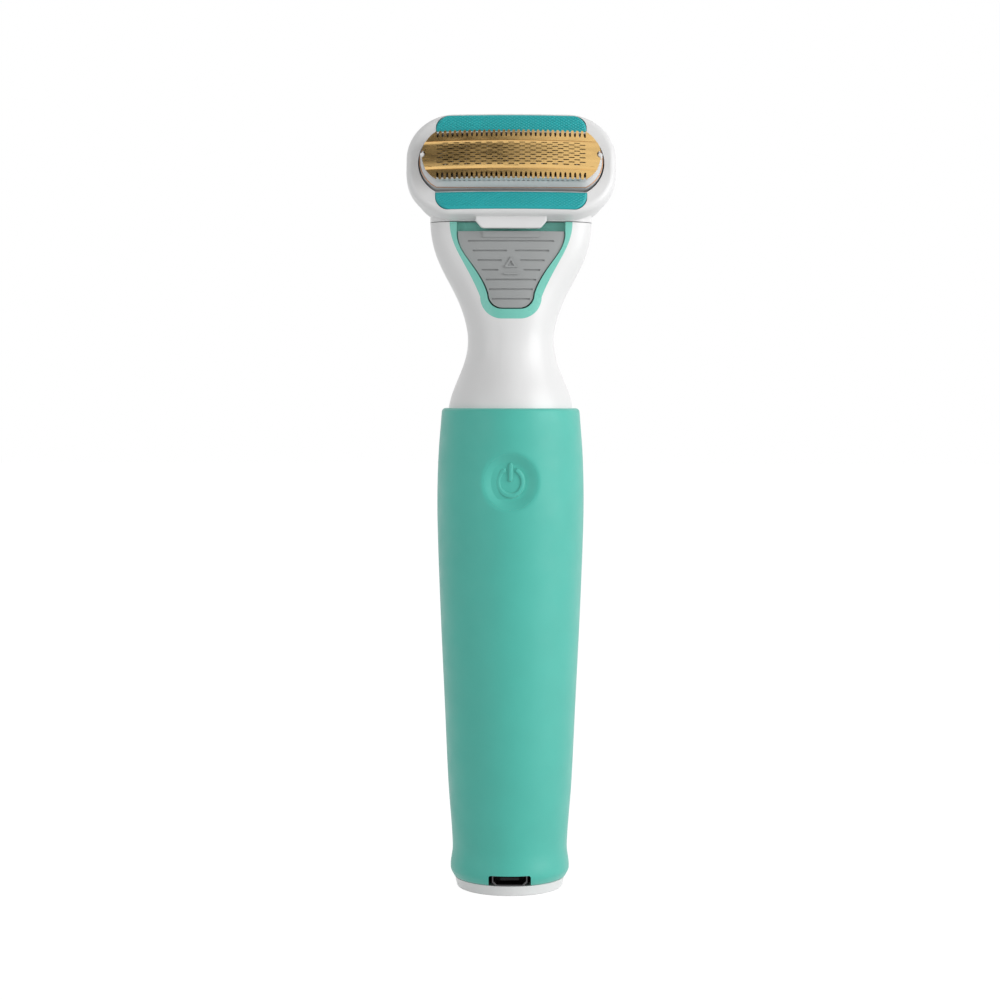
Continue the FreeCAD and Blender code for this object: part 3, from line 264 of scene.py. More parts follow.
def grid_faces(rows, columns, start=0, around=False):
    """Quads between rows of points; around closes each row."""
    faces = []
    wide = columns if around else columns - 1
    for row in range(rows - 1):
        for column in range(wide):
            following = (column + 1) % columns
            a = start + row * columns + column
            b = start + row * columns + following
            faces.append((a, b, b + columns, a + columns))
    return faces


def add_ladder(faces, start, steps):
    """Quads between pairs of points that follow one another."""
    for index in range(steps):
        a = start + 2 * index
        faces.append((a, a + 2, a + 3, a + 1))


def turn_faces(piece, outward):
    """Flip a sheet whose normals don't agree with the direction outward(centre), on the whole."""
    agreed = sum(p.normal.dot(outward(p.center)) * p.area for p in piece.data.polygons)
    if agreed < 0:
        piece.data.flip_normals()


def apply_modifiers(piece):
    """Freeze a piece's modifiers into its mesh."""
    graph = bpy.context.evaluated_depsgraph_get()
    mesh = bpy.data.meshes.new_from_object(piece.evaluated_get(graph))
    piece.modifiers.clear()
    piece.data = mesh


def thicken(piece, name, thickness):
    """Turn a sheet into a solid wall that lies behind its faces."""
    wall = piece.modifiers.new(name, "SOLIDIFY")
    wall.thickness = thickness * MM
    wall.offset = -1
    apply_modifiers(piece)


def shade_by_angle(piece, degrees):
    """Smooth shading with sharp edges where faces meet at more than an angle."""
    mesh = piece.data
    edit = bmesh.new()
    edit.from_mesh(mesh)
    limit = math.radians(degrees)
    for edge in edit.edges:
        if len(edge.link_faces) == 2:
            edge.smooth = edge.calc_face_angle(0) < limit
    edit.to_mesh(mesh)
    edit.free()
    for polygon in mesh.polygons:
        polygon.use_smooth = True


def eased(share):
    """Smooth step from 0 to 1."""
    share = max(0.0, min(1.0, share))
    return share * share * (3 - 2 * share)


# ---- Grip sleeve and button pad ---------------------------------------------------------
GRIP_RADIUS = (sleeve_high.x - sleeve_low.x) / 2
GRIP_LENGTH = sleeve_high.z - sleeve_low.z
SEAM_SLIM = 3.8
TOP_SLIM = 0.95
TOP_ROUND = 0.9
NECK_ROOT_RADIUS = 13.4
# share of the grip's length, and how much slimmer than the fullest radius the grip is there
TAPER = [(0.0, SEAM_SLIM), (0.019, 2.95), (0.065, 3.4), (0.20, 2.45), (0.38, 1.6), (0.55, 0.8),
         (0.72, 0.15), (0.81, 0.0), (0.90, 0.25), (1 - TOP_ROUND / GRIP_LENGTH, TOP_SLIM)]
COLUMNS = 96
PATCH_CELLS = 8                    # cells from the button's middle to its patch's edge
PATCH_HALF = 8.0
HOLE_RADIUS = 5.9
DIMPLE_FLAT = 3.4                  # the dimple's floor is flat out to here
DIMPLE_RADIUS = 6.7
DIMPLE_DEPTH = 1.45
DIMPLE_REACH = 12                  # rows farther than this from the button have no dimple
SLEEVE_SKIN = 1.3
FOOT_ROWS = 12
FOOT_LIFT = 0.25
FOOT_STEP = 0.4
BODY_ROWS = 74
TOP_ROWS = 6
RIM_LIFT = 0.02                    # the turned-in foot is this far above the sleeve's end
RIM_TURN = 1.2
RIM_ROUND = 0.25


def curve_through(stations, share):
    """Smooth curve through stations, with slopes taken across each station's neighbours."""
    slopes = []
    for index in range(len(stations)):
        low = stations[max(0, index - 1)]
        high = stations[min(len(stations) - 1, index + 1)]
        slopes.append((high[1] - low[1]) / (high[0] - low[0]))
    for index in range(len(stations) - 1):
        x0, y0 = stations[index]
        x1, y1 = stations[index + 1]
        if share <= x1 or index == len(stations) - 2:
            width = x1 - x0
            t = (share - x0) / width
            return ((2 * t**3 - 3 * t**2 + 1) * y0 + (t**3 - 2 * t**2 + t) * width * slopes[index]
                    + (3 * t**2 - 2 * t**3) * y1 + (t**3 - t**2) * width * slopes[index + 1])
    return stations[-1][1]


def grip_radius(z):
    """Outside radius of the grip at a height."""
    return GRIP_RADIUS - curve_through(TAPER, (z - sleeve_low.z) / GRIP_LENGTH)


def dimple(radius):
    """Depth of the thumb dimple at a distance from the button's middle."""
    return DIMPLE_DEPTH * eased((DIMPLE_RADIUS - radius) / (DIMPLE_RADIUS - DIMPLE_FLAT))


def grip_point(across, z, sink):
    """Point on the grip, across its front by an arc length, sunk below its surface."""
    angle = across / GRIP_RADIUS
    radius = grip_radius(z) - sink
    return (radius * math.sin(angle), -radius * math.cos(angle), z)


def sleeve_rows():
    """Heights of the sleeve's rows; the patch round the button has evenly spaced rows."""
    low = BUTTON_Z - PATCH_HALF
    high = BUTTON_Z + PATCH_HALF
    shoulder = sleeve_high.z - TOP_ROUND
    foot_rows = [sleeve_low.z + FOOT_LIFT + step * FOOT_STEP for step in range(FOOT_ROWS)]
    start = foot_rows[-1]
    body_rows = [start + (low - start) * step / BODY_ROWS for step in range(1, BODY_ROWS)]
    step_size = PATCH_HALF / PATCH_CELLS
    patch_rows = [low + step * step_size for step in range(2 * PATCH_CELLS + 1)]
    top_rows = [high + (shoulder - high) * step / TOP_ROWS for step in range(1, TOP_ROWS + 1)]
    return foot_rows + body_rows + patch_rows + top_rows


def patch_edge():
    """Grid cells round the patch's edge, anticlockwise seen from the front."""
    n = PATCH_CELLS
    edge = [(step, -n) for step in range(-n, n)]
    edge += [(n, step) for step in range(-n, n)]
    edge += [(-step, n) for step in range(-n, n)]
    edge += [(-n, -step) for step in range(-n, n)]
    return edge


COLUMN_STEP = 2 * math.pi * GRIP_RADIUS / COLUMNS
PATCH_SHARES = [0.0, 0.05, 0.12, 0.21, 0.33, 0.48, 0.65, 0.83, 1.0]


def sleeve_profile(heights):
    """Radius and height down the sleeve's outside, from its turned foot to its round top."""
    rim = grip_radius(sleeve_low.z)
    foot = sleeve_low.z + RIM_LIFT
    profile = [(rim - RIM_TURN, foot), (rim - RIM_ROUND, foot)]
    profile += [(grip_radius(z), z) for z in heights]
    shoulder = profile[-1]
    for step in range(1, TOP_ROWS + 1):
        angle = math.pi / 2 * step / TOP_ROWS
        profile.append((shoulder[0] - TOP_ROUND * (1 - math.cos(angle)),
                        shoulder[1] + TOP_ROUND * math.sin(angle)))
    profile.append((NECK_ROOT_RADIUS, sleeve_high.z))
    return profile


def add_barrel(points, faces, profile, first_patch_row):
    """Round wall of the sleeve, left open where the patch round the button goes."""
    for radius, z in profile:
        for column in range(COLUMNS):
            across = column * COLUMN_STEP
            angle = across / GRIP_RADIUS
            sink = 0
            if abs(z - BUTTON_Z) < DIMPLE_REACH:
                wrapped = min(across, 2 * math.pi * GRIP_RADIUS - across)
                sink = dimple(math.hypot(wrapped, z - BUTTON_Z))
            out = radius - sink
            points.append((out * math.sin(angle), -out * math.cos(angle), z))
    for row in range(len(profile) - 1):
        for column in range(COLUMNS):
            signed = column if column < COLUMNS / 2 else column - COLUMNS
            in_columns = -PATCH_CELLS <= signed < PATCH_CELLS
            in_rows = first_patch_row <= row < first_patch_row + 2 * PATCH_CELLS
            if in_columns and in_rows:
                continue
            a = row * COLUMNS + column
            b = row * COLUMNS + (column + 1) % COLUMNS
            faces.append((a, b, b + COLUMNS, a + COLUMNS))


def add_patch(points, faces):
    """Rings of quads from the button's round hole out to the barrel's square opening."""
    edge = patch_edge()
    start = len(points)
    for share in PATCH_SHARES:
        for across_cell, up_cell in edge:
            across = across_cell * COLUMN_STEP
            up = up_cell * PATCH_HALF / PATCH_CELLS
            angle = math.atan2(up, across)
            a = HOLE_RADIUS * math.cos(angle) * (1 - share) + across * share
            u = HOLE_RADIUS * math.sin(angle) * (1 - share) + up * share
            points.append(grip_point(a, BUTTON_Z + u, dimple(math.hypot(a, u))))
    faces += grid_faces(len(PATCH_SHARES), len(edge), start, around=True)


def make_sleeve():
    """Soft overmould with a smooth thumb dimple, turned rims and the inlet's notch."""
    heights = sleeve_rows()
    profile = sleeve_profile(heights)
    turned_rows = profile.index((grip_radius(heights[0]), heights[0]))
    points = []
    faces = []
    add_barrel(points, faces, profile, heights.index(BUTTON_Z - PATCH_HALF) + turned_rows)
    add_patch(points, faces)
    sleeve = make_piece("soft_sleeve", points, faces, "handle", "teal_grip")
    turn_faces(sleeve, lambda centre: Vector((centre.x, centre.y, 0)))
    thicken(sleeve, "skin", SLEEVE_SKIN)
    cutter = inlet_cutter()
    notch = sleeve.modifiers.new("notch", "BOOLEAN")
    notch.operation = "DIFFERENCE"
    notch.solver = "MANIFOLD"
    notch.object = cutter
    apply_modifiers(sleeve)
    bpy.data.objects.remove(cutter)
    shade_by_angle(sleeve, 40)
    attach(sleeve, "handle")
    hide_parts("grip_sleeve")


INLET_HALF = 4.5
INLET_CORNER = 0.5
CORNER_STEPS = 4


def inlet_cutter():
    """Rounded block that opens the sleeve's lower edge in front of the inlet."""
    foot = CAP_TOP - 6
    top = SOCKET_TOP + 0.05
    outline = [(-INLET_HALF, foot), (INLET_HALF, foot)]
    for middle_x, first in ((INLET_HALF - INLET_CORNER, 0), (INLET_CORNER - INLET_HALF, 1)):
        for step in range(CORNER_STEPS + 1):
            angle = math.pi / 2 * (first + step / CORNER_STEPS)
            outline.append((middle_x + INLET_CORNER * math.cos(angle),
                            top - INLET_CORNER + INLET_CORNER * math.sin(angle)))
    points = [(x, -20, z) for x, z in outline] + [(x, -8, z) for x, z in outline]
    count = len(outline)
    faces = grid_faces(2, count, around=True)
    faces += [tuple(range(count - 1, -1, -1)), tuple(range(count, 2 * count))]
    return make_mesh("inlet_cutter", points, faces)


SYMBOL_RADIUS = 2.85
SYMBOL_STROKE = 1.1
SYMBOL_RISE = 0.42
SYMBOL_GAP = math.radians(33)
SYMBOL_BAR_TOP = 4.0
SYMBOL_BAR_FOOT = 0.55
PAD_RINGS = 64
PAD_SPOKES = 192
PAD_GAP = 0.012
PAD_EDGE_DEPTH = 1.0


def symbol_height(x, up):
    """Raised height of the round-topped ring-and-bar mark at a point of the pad."""
    half = SYMBOL_STROKE / 2
    distance = math.hypot(x, up)
    angle = abs(math.atan2(x, up))
    if angle > SYMBOL_GAP:
        ring = abs(distance - SYMBOL_RADIUS)
    else:
        end_x = SYMBOL_RADIUS * math.sin(SYMBOL_GAP)
        end_up = SYMBOL_RADIUS * math.cos(SYMBOL_GAP)
        ring = math.hypot(abs(x) - end_x, up - end_up)
    nearest = max(SYMBOL_BAR_FOOT, min(SYMBOL_BAR_TOP - half, up))
    bar = math.hypot(x, up - nearest)
    from_middle = min(1.0, min(ring, bar) / half)
    return SYMBOL_RISE * math.sqrt(1 - from_middle**3)


def make_pad():
    """Dished pad with the raised generic power mark, flush with the sleeve round it."""
    edge_radius = HOLE_RADIUS - PAD_GAP
    points = [grip_point(0, BUTTON_Z, dimple(0) - symbol_height(0, 0))]
    for ring in range(1, PAD_RINGS + 1):
        radius = edge_radius * ring / PAD_RINGS
        for spoke in range(PAD_SPOKES):
            angle = 2 * math.pi * spoke / PAD_SPOKES
            x = radius * math.cos(angle)
            up = radius * math.sin(angle)
            points.append(grip_point(x, BUTTON_Z + up, dimple(radius) - symbol_height(x, up)))
    for spoke in range(PAD_SPOKES):
        angle = 2 * math.pi * spoke / PAD_SPOKES
        points.append(grip_point(edge_radius * math.cos(angle),
                                 BUTTON_Z + edge_radius * math.sin(angle), PAD_EDGE_DEPTH))
    faces = [(0, 1 + spoke, 1 + (spoke + 1) % PAD_SPOKES) for spoke in range(PAD_SPOKES)]
    faces += grid_faces(PAD_RINGS + 1, PAD_SPOKES, 1, around=True)
    last = 1 + PAD_RINGS * PAD_SPOKES
    faces.append(tuple(range(last + PAD_SPOKES - 1, last - 1, -1)))
    pad = make_piece("thumb_pad", points, faces, "power_button", "teal_grip")
    shade_by_angle(pad, 50)
    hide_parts("button_pad")


# ---- Head face: bulge shared by the foil and its cassette --------------------------------
FOIL_HALF_WIDTH = 18.8
FOIL_HALF_HEIGHT = 5.6
FOIL_END_X = 15.6
FOIL_DEPTH = -2.5
BAND_HALF = 3.2
BAND_RISE = 0.75
CREASE_SINK = 0.12                 # the band's creases lie this far behind its flanges
BULGE = 1.0
PERFORATED_HALF = 16.1
ROW_PITCH = 0.49
CELL_LENGTH = 2.3
FOIL_SHEET = 0.14


def bulge(x):
    """How far the foil block's middle stands in front of its ends."""
    share = x / FOIL_HALF_WIDTH
    return -BULGE * max(0.0, 1 - share * share)


def end_x(up):
    """Half width of the foil at a height across it: each end is an arc."""
    sag = FOIL_HALF_WIDTH - FOIL_END_X
    radius = (FOIL_HALF_HEIGHT**2 + sag**2) / (2 * sag)
    return FOIL_HALF_WIDTH - radius + math.sqrt(max(0.0, radius**2 - up**2))


def band_depth(up):
    """Depth of the foil across its band: an arch between two low creases."""
    share = min(1.0, abs(up) / BAND_HALF)
    arch = math.sqrt(max(0.0, 1 - share**2.2))
    return FOIL_DEPTH + CREASE_SINK - (BAND_RISE + CREASE_SINK) * arch


def foil_point(x, up, depth):
    """Point of the foil with the long bulge added."""
    return on_face(x, depth + bulge(x), up)


# half a slot's outline: places as shares of its half length, and rises as shares of its half width
SLOT_SHAPE = [(-1, 0.4), (-0.8, 1), (0, 1), (0.8, 1), (1, 0.4)]
SLOT_LENGTH_SHARE = 0.28           # a slot's half length, as a share of its cell
SLOT_WIDTH_SHARE = 0.21            # a slot's half width, as a share of its row


def add_cell(points, faces, centre, low, high):
    """One brick of the band with a slot through it."""
    half = CELL_LENGTH / 2
    middle = (low + high) / 2
    slot_half = CELL_LENGTH * SLOT_LENGTH_SHARE
    slot_rise = (high - low) * SLOT_WIDTH_SHARE
    stations = [-half, -half / 2, 0, half / 2, half]
    hole = [(slot_half * share, rise) for share, rise in SLOT_SHAPE]
    start = len(points)
    for x in stations:
        points.append(foil_point(centre + x, low, band_depth(low)))
    for x in reversed(stations):
        points.append(foil_point(centre + x, high, band_depth(high)))
    for x, rise in hole:
        up = middle - slot_rise * rise
        points.append(foil_point(centre + x, up, band_depth(up)))
    for x, rise in reversed(hole):
        up = middle + slot_rise * rise
        points.append(foil_point(centre + x, up, band_depth(up)))
    faces += grid_faces(2, 2 * len(stations), start, around=True)


END_PARTS = 4                      # each row's plain ends are this many strips
PLAIN_STEPS = 12
END_STEPS = 3
NOTCH_RADIUS = 0.8


def add_band(points, faces):
    """Arched band: staggered rows of slots between plain ends with a notch in each."""
    rows = round(2 * BAND_HALF / ROW_PITCH)
    pitch = 2 * BAND_HALF / rows
    for row in range(rows):
        low = -BAND_HALF + row * pitch
        high = low + pitch
        cells = int(2 * PERFORATED_HALF / CELL_LENGTH) - (row % 2)
        first = -cells * CELL_LENGTH / 2
        plain = row in (0, rows - 1)
        if not plain:
            for cell in range(cells):
                add_cell(points, faces, first + (cell + 0.5) * CELL_LENGTH, low, high)
        inner = 0.0 if plain else abs(first)
        for part in range(END_PARTS):
            part_low = low + pitch * part / END_PARTS
            part_high = low + pitch * (part + 1) / END_PARTS
            for side in (-1, 1):
                add_slanted(points, faces, side, part_low, part_high, inner)


def add_slanted(points, faces, side, low, high, inner):
    """Plain metal from a place across the band out to its curved, notched end."""
    steps = PLAIN_STEPS if inner == 0 else END_STEPS
    start = len(points)
    for step in range(steps + 1):
        share = step / steps
        for up in (low, high):
            x = inner + (notched_end(up) - inner) * share
            points.append(foil_point(side * x, up, band_depth(up)))
    add_ladder(faces, start, steps)


def notched_end(up):
    """Half width of the foil less the small round notch in the middle of each end."""
    if abs(up) >= NOTCH_RADIUS:
        return end_x(up)
    return FOIL_HALF_WIDTH - math.sqrt(NOTCH_RADIUS**2 - up**2)


COMB_SLOTS = 31
COMB_PITCH = 1.03
COMB_SLOT = 0.46
COMB_LENGTH = 1.55
FLANGE_ROWS = 3
FLANGE_STEPS = 40
TOOTH_STEPS = 6
ROOT_FLARE = 0.16
TIP_ROUND = 0.12


def add_comb(points, faces, side):
    """Flat flange whose outer edge is cut into teeth."""
    root = side * (FOIL_HALF_HEIGHT - COMB_LENGTH)
    arch_low = side * BAND_HALF
    for row in range(FLANGE_ROWS):
        low = arch_low + (root - arch_low) * row / FLANGE_ROWS
        high = arch_low + (root - arch_low) * (row + 1) / FLANGE_ROWS
        start = len(points)
        for step in range(FLANGE_STEPS + 1):
            share = 2 * step / FLANGE_STEPS - 1
            points.append(foil_point(share * end_x(low), low, FOIL_DEPTH))
            points.append(foil_point(share * end_x(high), high, FOIL_DEPTH))
        add_ladder(faces, start, FLANGE_STEPS)
    tip = side * FOIL_HALF_HEIGHT
    first = -(COMB_SLOTS - 1) / 2 * COMB_PITCH
    for tooth in range(COMB_SLOTS + 1):
        left = first + (tooth - 1) * COMB_PITCH + COMB_SLOT / 2
        right = first + tooth * COMB_PITCH - COMB_SLOT / 2
        if tooth == 0:
            left = -end_x(root)
        if tooth == COMB_SLOTS:
            right = end_x(root)
        add_tooth(points, faces, left, right, root, tip, tooth in (0, COMB_SLOTS))


def add_tooth(points, faces, left, right, root, tip, at_end):
    """One tooth, a little wider at its root and rounded at its tip; the end ones fill the arc."""
    start = len(points)
    for step in range(TOOTH_STEPS + 1):
        share = step / TOOTH_STEPS
        up = root + (tip - root) * share
        flare = ROOT_FLARE * (1 - eased(share * 4)) if not at_end else 0
        round_off = TIP_ROUND * eased((share - 0.85) / 0.15) if not at_end else 0
        x0 = left - flare + round_off
        x1 = right + flare - round_off
        if at_end:
            limit = end_x(up)
            x0 = max(x0, -limit) if left > -FOIL_END_X else -limit
            x1 = min(x1, limit) if right < FOIL_END_X else limit
        points.append(foil_point(x0, up, FOIL_DEPTH))
        points.append(foil_point(x1, up, FOIL_DEPTH))
    for index in range(TOOTH_STEPS):
        a = start + 2 * index
        faces.append((a, a + 1, a + 3, a + 2))


def make_foil():
    """Gold foil: perforated arched band between two toothed combs."""
    points = []
    faces = []
    add_band(points, faces)
    add_comb(points, faces, 1)
    add_comb(points, faces, -1)
    foil = make_piece("gold_foil", points, faces, "cassette", "foil_gold")
    turn_faces(foil, lambda centre: -INWARD)
    thicken(foil, "sheet", FOIL_SHEET)
    shade_by_angle(foil, 35)
    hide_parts("shaving_foil")


# ---- Foil cassette ----------------------------------------------------------------------
def lens_outline(half_width, half_height, corner_x, count_long=28, count_end=12):
    """Outline with straight long sides and arched ends, anticlockwise."""
    sag = half_width - corner_x
    radius = (half_height**2 + sag**2) / (2 * sag)
    centre = half_width - radius
    swing = math.asin(min(1.0, half_height / radius))
    outline = []
    for step in range(count_end):
        angle = -swing + 2 * swing * step / count_end
        outline.append((centre + radius * math.cos(angle), radius * math.sin(angle)))
    for step in range(count_long):
        outline.append((corner_x - 2 * corner_x * step / count_long, half_height))
    for step in range(count_end):
        angle = math.pi - swing + 2 * swing * step / count_end
        outline.append((-centre + radius * math.cos(angle), radius * math.sin(angle)))
    for step in range(count_long):
        outline.append((-corner_x + 2 * corner_x * step / count_long, -half_height))
    return outline


CASSETTE_BACK = 3.85
CASSETTE_SHEET = 0.3


def cassette_outline(inset):
    """Outline of the cassette's outside, drawn in by an inset."""
    return lens_outline(FOIL_HALF_WIDTH - 0.15 - inset, FOIL_HALF_HEIGHT - 0.25 - inset,
                        FOIL_END_X - 0.1 - inset * 0.4)


def make_cassette():
    """Glossy grey wall round the foil block, with a fine lip under the foil."""
    back = CASSETTE_BACK - FOIL_DEPTH
    # each ring's inset, its depth behind the foil, and whether it follows the foil's bulge
    rings = [(0.22, FOIL_SHEET + 0.04, True), (0.06, FOIL_SHEET + 0.02, True),
             (0.0, 0.26, True), (-0.05, 0.40, True), (0.0, 1.5, True), (-0.12, 2.0, True),
             (-0.55, 2.5, True), (-0.75, 2.9, False), (-0.75, 5.4, False), (0.2, back, False),
             (1.0, back, False)]
    points = []
    count = 0
    for inset, behind, bulged in rings:
        outline = cassette_outline(inset)
        count = len(outline)
        for x, up in outline:
            lift = bulge(x) if bulged else 0
            points.append(on_face(x, FOIL_DEPTH + behind + lift, up))
    faces = grid_faces(len(rings), count, around=True)
    wall = make_piece("cassette_wall", points, faces, "cassette", "cassette_grey")
    turn_faces(wall, lambda centre: centre - FACE * MM)
    thicken(wall, "shell", CASSETTE_SHEET)
    shade_by_angle(wall, 35)
    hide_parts("cassette_frame")


# radius and depth down a pin, from the middle of its front to the middle of its back
PIN_PROFILE = [(0, -3.12), (0.35, -3.12), (0.5, -2.97), (0.5, -1.5), (0, -1.5)]
PIN_SIDES = 24


def make_pin(name, side):
    """White locating pin of the cassette in the foil's end notch."""
    centre_x = side * (FOIL_HALF_WIDTH - 0.15)
    points = []
    for radius, depth in PIN_PROFILE:
        for step in range(PIN_SIDES):
            angle = 2 * math.pi * step / PIN_SIDES
            across = centre_x + radius * math.cos(angle)
            points.append(on_face(across, depth, radius * math.sin(angle)))
    faces = grid_faces(len(PIN_PROFILE), PIN_SIDES, around=True)
    pin = make_piece(name, points, faces, "cassette", "white_shell")
    shade_by_angle(pin, 35)


BEAD_RADIUS = 0.15
BEAD_GROW = 0.62
BEAD_DEPTH = 0.15
BEAD_SIDES = 10
# The bead's copper colour is a painted reflection of the gold foil on the window's edge.
COPPER_REFLECTION = metal("copper_reflection_bead", (0.42, 0.22, 0.12), 0.35, 0.1)


def make_bead():
    """Thin copper-coloured bead round the cassette, where it meets the window; its copper colour
    is a painted reflection of the gold foil.
    """
    outline = cassette_outline(-BEAD_GROW)
    points = []
    count = len(outline)
    for index, (x, up) in enumerate(outline):
        before = outline[index - 1]
        after = outline[(index + 1) % count]
        along = Vector((after[0] - before[0], after[1] - before[1])).normalized()
        for side in range(BEAD_SIDES):
            angle = 2 * math.pi * side / BEAD_SIDES
            out = BEAD_RADIUS * math.cos(angle)
            points.append(on_face(x + along.y * out, BEAD_DEPTH + BEAD_RADIUS * math.sin(angle),
                                  up - along.x * out))
    faces = grid_faces(count, BEAD_SIDES, around=True)
    last = (count - 1) * BEAD_SIDES
    for side in range(BEAD_SIDES):
        following = (side + 1) % BEAD_SIDES
        faces.append((last + side, last + following, following, side))
    bead = make_piece("cassette_bead", points, faces, "cassette", "cassette_grey")
    bead.data.materials[0] = COPPER_REFLECTION


# ---- Cushions ---------------------------------------------------------------------------
STRIP_LOW = 7.0
STRIP_HIGH = 10.87
STRIP_INNER = 16.0
STRIP_OUTER = 12.7
KNURL_PITCH = 1.0
KNURL_RISE = 0.22
KNURL_SLANT = 0.62                 # a diamond's height, as a share of its width
FACE_ARCH_RADIUS = 247.0
CUSHION_ROWS = 44
CUSHION_COLUMNS = 340
CUSHION_EDGE = 0.35
CUSHION_PROUD = 0.1
CUSHION_DEPTH = 0.75


def strip_half_width(up):
    """Half length of a cushion at a height: its outer corners are rounded."""
    bend = STRIP_INNER - STRIP_OUTER
    shoulder = STRIP_HIGH - bend * 0.95
    if up <= shoulder:
        return STRIP_INNER
    share = min(1.0, (up - shoulder) / (STRIP_HIGH - shoulder))
    return STRIP_OUTER + bend * math.sqrt(max(0.0, 1 - share * share))


def face_arch(x):
    """How far the head's face falls back towards its ends."""
    return x * x / (2 * FACE_ARCH_RADIUS)


def knurl(x, up):
    """Small raised diamonds in a staggered grid."""
    a = math.sin(math.pi * (x / KNURL_PITCH + up / (KNURL_PITCH * KNURL_SLANT)))
    b = math.sin(math.pi * (x / KNURL_PITCH - up / (KNURL_PITCH * KNURL_SLANT)))
    return KNURL_RISE * (abs(a * b) ** 0.6)


def make_cushion(name, node, side):
    """Firm rubber strip with a knurled face and rounded edges."""
    edge = CUSHION_EDGE
    points = []
    for row in range(CUSHION_ROWS + 1):
        up = STRIP_LOW + (STRIP_HIGH - STRIP_LOW) * row / CUSHION_ROWS
        half = strip_half_width(up)
        for column in range(CUSHION_COLUMNS + 1):
            x = half * (2 * column / CUSHION_COLUMNS - 1)
            near = min(up - STRIP_LOW, STRIP_HIGH - up, half - abs(x))
            drop = edge - math.sqrt(max(0.0, edge**2 - (edge - min(edge, near)) ** 2))
            crown = knurl(x, up) * eased((near - 0.15) / 0.5)
            points.append(on_face(x, face_arch(x) - CUSHION_PROUD + drop - crown, side * up))
    columns = CUSHION_COLUMNS + 1
    rows = CUSHION_ROWS + 1
    faces = grid_faces(rows, columns)
    border = list(range(columns))
    border += [row * columns + columns - 1 for row in range(1, rows)]
    border += [(rows - 1) * columns + column for column in range(columns - 2, -1, -1)]
    border += [row * columns for row in range(rows - 2, 0, -1)]
    start = len(points)
    for index in border:
        points.append(points[index] + INWARD * CUSHION_DEPTH)
    count = len(border)
    for index in range(count):
        following = (index + 1) % count
        faces.append((border[index], border[following], start + following, start + index))
    faces.append(tuple(range(start, start + count)))
    cushion = make_piece(name, points, faces, "head", "cushion_teal")
    shade_by_angle(cushion, 60)
    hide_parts(node)


def press_spring(name, node, body, axis):
    """Copy of a CAD spring that a joint presses, put on a body in place of the CAD node."""
    source = frame["nodes"][node]
    spring = bpy.data.objects.new(name, source.data.copy())
    bpy.context.scene.collection.objects.link(spring)
    spring.matrix_world = source.matrix_world.copy()
    points = [spring.matrix_world @ vertex.co for vertex in spring.data.vertices]
    points.sort(key=lambda point: point.dot(axis))
    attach(spring, body)
    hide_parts(node)
    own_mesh(spring)


# ---- Camera, light and floor ------------------------------------------------------------
CAMERA_BACK = 463.0
CAMERA_HEIGHT = 105.6
CAMERA_DROP = math.radians(2.7)
CAMERA_ROLL = math.radians(-0.12)
LENS = 77.3
SHIFT_X = -0.0107
SENSOR_WIDTH = 36.0


def make_camera():
    """Camera at the object's front, a little above its middle."""
    data = bpy.data.cameras.new("camera")
    data.lens = LENS
    data.sensor_width = SENSOR_WIDTH
    data.shift_x = SHIFT_X
    camera = bpy.data.objects.new("camera", data)
    bpy.context.scene.collection.objects.link(camera)
    camera.location = Vector((0, -CAMERA_BACK, CAMERA_HEIGHT)) * MM
    camera.rotation_euler = (math.pi / 2 - CAMERA_DROP, CAMERA_ROLL, 0)
    bpy.context.scene.camera = camera


def make_lamp(name, place, target, size, energy):
    """Square soft box that points at a target; places are in millimetres."""
    data = bpy.data.lights.new(name, "AREA")
    data.shape = "RECTANGLE"
    data.size = size[0] * MM
    data.size_y = size[1] * MM
    data.energy = energy
    lamp = bpy.data.objects.new(name, data)
    bpy.context.scene.collection.objects.link(lamp)
    lamp.location = Vector(place) * MM
    lamp.rotation_euler = (Vector(target) - Vector(place)).to_track_quat("-Z", "Y").to_euler()


def any_ray(tree, names):
    """1 for the given kinds of ray, 0 for the others."""
    path = tree.nodes.new("ShaderNodeLightPath")
    total = path.outputs[names[0]]
    for name in names[1:]:
        largest = tree.nodes.new("ShaderNodeMath")
        largest.operation = "MAXIMUM"
        tree.links.new(total, largest.inputs[0])
        tree.links.new(path.outputs[name], largest.inputs[1])
        total = largest.outputs["Value"]
    return total


AMBIENT = 0.45
SEEN_RAYS = ("Is Camera Ray", "Is Glossy Ray", "Is Transmission Ray")


def make_world():
    """Plain ambient light; the camera and reflections see a white studio."""
    world = bpy.data.worlds.new("studio")
    world.use_nodes = True
    tree = world.node_tree
    background = tree.nodes["Background"]
    background.inputs["Color"].default_value = (1, 1, 1, 1)
    spread = tree.nodes.new("ShaderNodeMapRange")
    spread.inputs["To Min"].default_value = AMBIENT
    spread.inputs["To Max"].default_value = 1.0
    tree.links.new(any_ray(tree, SEEN_RAYS), spread.inputs["Value"])
    tree.links.new(spread.outputs["Result"], background.inputs["Strength"])
    bpy.context.scene.world = world


FLOOR_HALF = 3.0                   # in metres
FLOOR_GREY = 0.8
FLOOR_GLOW = 1.12
GLOW_SHARE = 0.86                  # the rest is lit, so that it takes the object's shadow


